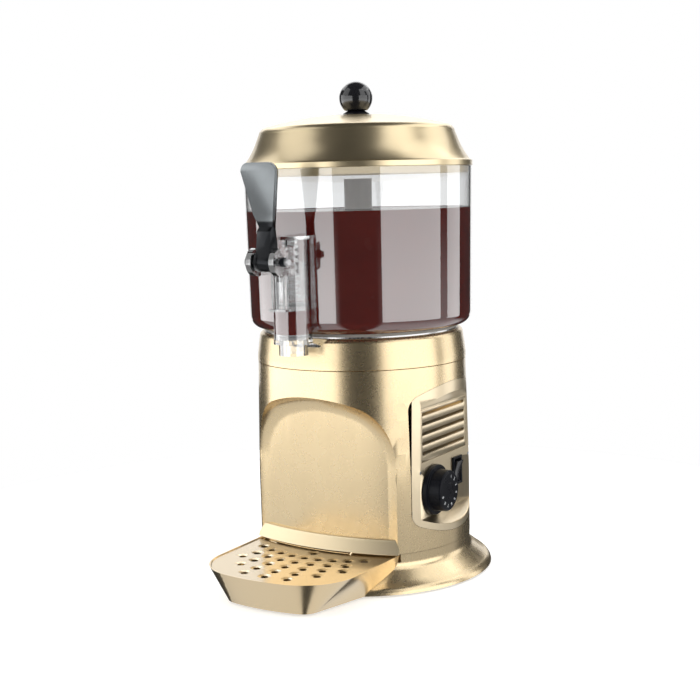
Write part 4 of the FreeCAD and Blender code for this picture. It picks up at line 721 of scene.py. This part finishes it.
def drink():
    """The chocolate in the bowl with its well, and in the tap's lower chamber."""
    level, sleeve, lap, wetted, gap = 365.0, 14.4, 0.2, 0.25, 0.3
    # how the surface climbs the wall and the stirrer's sleeve
    climb, near, near_climb, wall_reach = 0.9, 1.2, 0.2, 4.0
    sleeve_climb, sleeve_reach, middle = 0.8, 3.1, 60.0
    inside, inside_low, inside_top = BELLY - WALL, FOOT + CORNER, BOWL_TOP - 0.4
    share = (level - inside_low) / (inside_top - inside_low)
    wall = inside + (RIM - BELLY) * share
    fill = lathe("drink_fill", [
        (sleeve, BOWL_LOW + WALL + gap), (WELL - WALL + lap, BOWL_LOW + WALL + gap),
        (WELL - WALL + lap, FOOT + WALL - gap), (BELLY - CORNER, FOOT + WALL - gap),
        (inside + wetted, inside_low, CORNER - WALL + gap), (wall + wetted, level + climb),
        (wall - near, level + near_climb), (wall - wall_reach, level), (middle, level),
        (sleeve + sleeve_reach, level), (sleeve, level + sleeve_climb)], 192, turn=6)
    smooth(fill, 40)
    dress(fill, "bowl", CHOCOLATE)
    stem, low, high = 5.3, TAP_LOW + 5.4, TAP_LOW + 27.6
    chamber = lathe("drink_tap", [
        (stem, low), (TAP_BORE + lap, low), (TAP_BORE + lap, high), (stem, high)],
        64, "Z", (TAP[0], TAP[1], 0))
    smooth(chamber, 32)
    dress(chamber, "bowl", CHOCOLATE)


def spring_piece():
    """The tap's return spring as its CAD coil, in a mesh of its own; in the real tap its coils close up as
    the piston rises.
    """
    spring = smooth(from_solid("spring_coil", "tap_spring", 0.1), 40)
    dress(spring, "bowl", STEEL, ["tap_spring"])
    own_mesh(spring)


def pin_cap_piece():
    """The domed black cap on the pivot pin."""
    end, start = span("pin_cap", "X")
    rise, reach, edge = 6.0, 8.3, 0.5
    hole, hole_end = 3.0, -19.1
    dome = (rise * rise + reach * reach) / (rise * 2)
    cap = lathe("pin_cap_skin", [
        (end, 0), (end + rise, reach, -dome), (start - edge, reach), (start, reach - edge, -edge),
        (start, hole), (hole_end, hole), (hole_end, 0)], 72, "X", (0, *PIVOT), 0.8)
    smooth(cap, 40)
    dress(cap, "bowl", BLACK_GLOSS, ["pin_cap"])


# ---------------------------------------------------------------- lid

def lid_piece():
    """The spun lid: a shallow dome, a flared side, a rolled rim and a spigot inside the bowl."""
    low, top = span("lid", "Z")
    outer, hole, sheet, edge = span("lid", "X")[1], 2.5, 2.0, 0.4
    dome, dome_reach, dome_foot = 355.0, 90.0, top - 11.5
    shoulder, shoulder_foot, shoulder_round = 98.6, top - 18.8, 9.0
    side, side_top, flare = 101.0, top - 24.8, 80.0
    rim_low, rim_high, spigot, spigot_tall = low + 6.7, low + 12.0, 111.6, 8.7
    foot, foot_rise, bead, drop = 2.5, 1.0, 1.9, 1.0
    lid = lathe("lid_skin", [
        (hole, top - sheet), (hole, top), (dome_reach, dome_foot, -dome),
        (shoulder, shoulder_foot, -shoulder_round), (side, side_top),
        (outer - foot, rim_high + foot_rise, flare), (outer - bead, rim_high + edge),
        (outer - edge, rim_high), (outer, rim_high - edge, -edge), (outer, rim_low + edge),
        (outer - edge, rim_low, -edge), (spigot, rim_low), (spigot, low), (spigot - sheet, low),
        (spigot - sheet, low + spigot_tall), (side - sheet, side_top),
        (shoulder - sheet, shoulder_foot - drop),
        (dome_reach - sheet, dome_foot - sheet, shoulder_round - sheet)], 256, turn=4)
    weighed(lid, 35)
    dress(lid, "lid", LID_GOLD, ["lid"])


def knob_piece():
    """The ball knob with a flat foot and the screw's hole."""
    flat, top = span("lid_knob", "Z")
    radius, hole, hole_deep = 16.8, 2.5, 4.0
    middle = top - radius
    foot = math.sqrt(radius ** 2 - (middle - flat) ** 2)
    knob = lathe("lid_ball", [
        (0, flat + hole_deep), (hole, flat + hole_deep), (hole, flat), (foot, flat),
        (radius, middle, radius), (0, top, radius)], 96, turn=4)
    smooth(knob, 50)
    dress(knob, "lid", BLACK_GLOSS, ["lid_knob"])


# ---------------------------------------------------------------- studio, in metres

VIEW_TURN = math.radians(31.0)
CAMERA_AT = Vector((0.6786, -1.1294, 0.3905))
CAMERA_PITCH, CAMERA_AIM, CAMERA_ROLL = math.radians(7.3), math.radians(-0.52), math.radians(1.4)
SENSOR, LENS = 36.0, 66.51

# directions round the object, in degrees from the camera's, + to its right
LEFT, RIGHT, STRIP, REAR = (-122, -24), (21, 86), (96, 118), (150, 210)
LEFT_MID, RIGHT_MID = sum(LEFT) / 2, sum(RIGHT) / 2
BOX_LOW, BOX_HIGH, KEY_HIGH, PAPER_HIGH = -0.14, 0.9, 3.0, 0.6
FAR, NEAR = 1.7, 1.2
# how bright the boxes are
BOX = 1.45
# how bright the world is for gloss below the horizon on either side, and where it isn't lit
LEFT_LOW, RIGHT_LOW, RIGHT_STEEP, DARK = 0.76, 0.42, 0.8, 0.04
# and for matt faces in every direction
AMBIENT = 0.42

# upright panels: name, first and last direction, radiance, low, high, distance, lights matt faces
UPRIGHT = (
    ("left_rear_box", LEFT[0], LEFT_MID, BOX, BOX_LOW, BOX_HIGH, FAR, True),
    ("left_front_box", LEFT_MID, LEFT[1], BOX, BOX_LOW, BOX_HIGH, FAR, True),
    ("right_front_box", RIGHT[0], RIGHT_MID, BOX, BOX_LOW, BOX_HIGH, FAR, True),
    ("right_rear_box", RIGHT_MID, RIGHT[1], BOX, BOX_LOW, BOX_HIGH, FAR, True),
    ("right_strip", STRIP[0], STRIP[1], 1.2, BOX_LOW, BOX_HIGH, FAR, True),
    ("right_strip_high", 88, 128, 1.1, BOX_HIGH, 1.7, FAR, False),
    ("left_key", -105, -55, 0.8, BOX_HIGH, KEY_HIGH, FAR, True),
    ("right_key", 33, 73, 1.15, BOX_HIGH, KEY_HIGH, FAR, True),
    ("rear_paper", REAR[0], REAR[1], 0.85, 0.0, PAPER_HIGH, NEAR, False),
    ("rear_high", REAR[0], REAR[1], 1.0, PAPER_HIGH + 0.02, 1.3, NEAR, False),
)
# radiance and height of the level panels
OVERHEAD, OVERHEAD_HIGH = 1.1, 1.6
# level panels overhead: name, left, right, front, back, lights matt faces, shows in gloss
LEVEL_PANELS = (
    ("overhead", -0.75, 0.75, -0.65, 0.85, True, False),
    ("overhead_gloss", -1.6, 1.6, 0.5, 2.2, False, True),
    ("overhead_right", 0.6, 1.6, -0.4, 0.5, False, True),
)


def compass(angle, distance, height):
    """A point round the object; 0 is straight towards the camera, + goes to its right."""
    turn = VIEW_TURN + math.radians(angle)
    return Vector((distance * math.sin(turn), -distance * math.cos(turn), height))


def camera():
    """The photograph's view: from the front right, a little above, with a slight roll."""
    data = bpy.data.cameras.new("camera")
    data.sensor_width, data.lens = SENSOR, LENS
    item = placed("camera", data)
    ahead = Vector((math.sin(CAMERA_AIM) * math.cos(CAMERA_PITCH),
                    math.cos(CAMERA_AIM) * math.cos(CAMERA_PITCH), -math.sin(CAMERA_PITCH)))
    ahead = Matrix.Rotation(VIEW_TURN, 3, "Z") @ ahead
    right = ahead.cross(Vector((0, 0, 1))).normalized()
    up = right.cross(ahead)
    cosine, sine = math.cos(CAMERA_ROLL), math.sin(CAMERA_ROLL)
    level, rise = right * cosine - up * sine, right * sine + up * cosine
    axes = Matrix((level, rise, -ahead)).transposed().to_4x4()
    item.matrix_world = Matrix.Translation(CAMERA_AT) @ axes
    bpy.context.scene.camera = item


def lamp(name, wide, tall, radiance, matt, gloss):
    """An even diffuse panel that neither the camera nor clear plastic shows."""
    data = bpy.data.lights.new(name, "AREA")
    data.shape, data.size, data.size_y = "RECTANGLE", wide, tall
    data.energy = 4 * wide * tall * radiance
    item = placed(name, data)
    item.visible_camera = item.visible_transmission = False
    item.visible_diffuse, item.visible_glossy = matt, gloss
    return item


def lamps():
    """The upright panels round the object, and the level ones over it."""
    for name, first, last, radiance, low, high, distance, matt in UPRIGHT:
        middle, half = (first + last) / 2, math.radians((last - first) / 2)
        item = lamp(name, 2 * distance * math.tan(half), high - low, radiance, matt, True)
        item.location = compass(middle, distance, (low + high) / 2)
        inward = -compass(middle, 1.0, 0.0)
        item.rotation_euler = inward.to_track_quat("-Z", "Y").to_euler()
    for name, left, right, front, back, matt, gloss in LEVEL_PANELS:
        item = lamp(name, right - left, back - front, OVERHEAD, matt, gloss)
        behind = compass(180, (front + back) / 2, OVERHEAD_HIGH)
        item.location = behind + compass(90, (left + right) / 2, 0.0)
        item.rotation_euler = (0, 0, VIEW_TURN)


class World:
    """White for the camera and through clear plastic; for gloss a studio with dark gaps."""

    def __init__(self):
        made = bpy.data.worlds.new("studio")
        bpy.context.scene.world = made
        made.use_nodes = True
        self.tree = made.node_tree
        self.tree.nodes.clear()

    def feed(self, value, socket):
        if isinstance(value, bpy.types.NodeSocket):
            self.tree.links.new(value, socket)
        else:
            socket.default_value = value

    def maths(self, kind, *values):
        item = self.tree.nodes.new("ShaderNodeMath")
        item.operation = kind
        for value, socket in zip(values, item.inputs):
            self.feed(value, socket)
        return item.outputs[0]

    def rise(self, value, start, end, low, high):
        """A smooth step from low to high as the value goes from start to end."""
        item = self.tree.nodes.new("ShaderNodeMapRange")
        item.interpolation_type = "SMOOTHSTEP"
        for label, number in (("From Min", start), ("From Max", end), ("To Min", low), ("To Max", high)):
            item.inputs[label].default_value = number
        self.feed(value, item.inputs["Value"])
        return item.outputs["Result"]

    def mixed(self, share, first, second):
        item = self.tree.nodes.new("ShaderNodeMix")
        sockets = (item.inputs[0], item.inputs[2], item.inputs[3])
        for value, socket in zip((share, first, second), sockets):
            self.feed(value, socket)
        return item.outputs[0]

    def sector(self, turn, first, last, soft=5.0):
        """1 between two directions round the object, with soft ends."""
        return self.maths("MULTIPLY", self.rise(turn, first - soft, first + soft, 0.0, 1.0),
                          self.rise(turn, last - soft, last + soft, 1.0, 0.0))

    def build(self):
        spot = self.tree.nodes.new("ShaderNodeTexCoord")
        split = self.tree.nodes.new("ShaderNodeSeparateXYZ")
        self.feed(spot.outputs["Generated"], split.inputs[0])
        x, y, z = split.outputs
        parts = []
        for direction in (compass(90, 1.0, 0.0), compass(0, 1.0, 0.0)):
            parts.append(self.maths("ADD", self.maths("MULTIPLY", x, direction.x),
                                    self.maths("MULTIPLY", y, direction.y)))
        turn = self.maths("MULTIPLY", self.maths("ARCTAN2", *parts), 180 / math.pi)

        # how far down a direction points where the lower half starts, and where it gets steep
        horizon, right_slope, rear_slope = (-0.13, -0.03), (-0.75, -0.3), (-0.5, -0.3)
        below = self.rise(z, *horizon, 1.0, 0.0)
        steep = self.rise(z, *right_slope, RIGHT_STEEP, RIGHT_LOW)
        left = self.maths("MULTIPLY", self.sector(turn, *LEFT), LEFT_LOW)
        right = self.maths("MULTIPLY", self.sector(turn, RIGHT[0], STRIP[1]), steep)
        under = self.maths("MULTIPLY", self.sector(turn, STRIP[1], REAR[0]),
                           self.rise(z, *rear_slope, RIGHT_STEEP, 0.0))
        lower = self.maths("MULTIPLY", below, self.maths("ADD", left, self.maths("ADD", right, under)))
        gloss = self.maths("ADD", lower, DARK)

        rays = self.tree.nodes.new("ShaderNodeLightPath").outputs
        seen = self.maths("MAXIMUM", rays["Is Camera Ray"], rays["Is Transmission Ray"])
        level = self.mixed(seen, self.mixed(rays["Is Glossy Ray"], AMBIENT, gloss), 1.0)
        glow = self.tree.nodes.new("ShaderNodeBackground")
        self.feed(WHITE_LIGHT, glow.inputs["Color"])
        self.feed(level, glow.inputs["Strength"])
        out = self.tree.nodes.new("ShaderNodeOutputWorld")
        self.feed(glow.outputs[0], out.inputs["Surface"])


def floor():
    """A round pale floor, in millimetres, that keeps the object's shadow."""
    reach, top, low = 600, -0.02, -2.0
    white, lift = 0.86, 0.45
    ground = lathe("floor", [(0, low), (reach, low), (reach, top), (0, top)], 96)
    paper = Paint("floor_paper", Base_Color=(white, white, white, 1), Roughness=0.7,
                  Specular_IOR_Level=0.15, Emission_Color=WHITE_LIGHT)
    rays = paper.node("ShaderNodeLightPath").outputs
    seen = paper.node("ShaderNodeMath")
    seen.operation = "MAXIMUM"
    paper.link(rays["Is Camera Ray"], seen.inputs[0])
    paper.link(rays["Is Transmission Ray"], seen.inputs[1])
    paper.link(paper.spread(seen.outputs[0], 0.0, lift, 0.0, 1.0), paper.shader.inputs["Emission Strength"])
    ground.data.materials.append(paper.material)
    ground.visible_glossy = ground.visible_shadow = False


# ---------------------------------------------------------------- the whole scene

collar_piece()
turned_pieces()
plain_pieces()
grille_piece()
dial_piece()
bowl_piece()
drink()
spring_piece()
pin_cap_piece()
lid_piece()
knob_piece()
camera()
lamps()
World().build()
floor()
bpy.context.scene.view_settings.view_transform = "Standard"
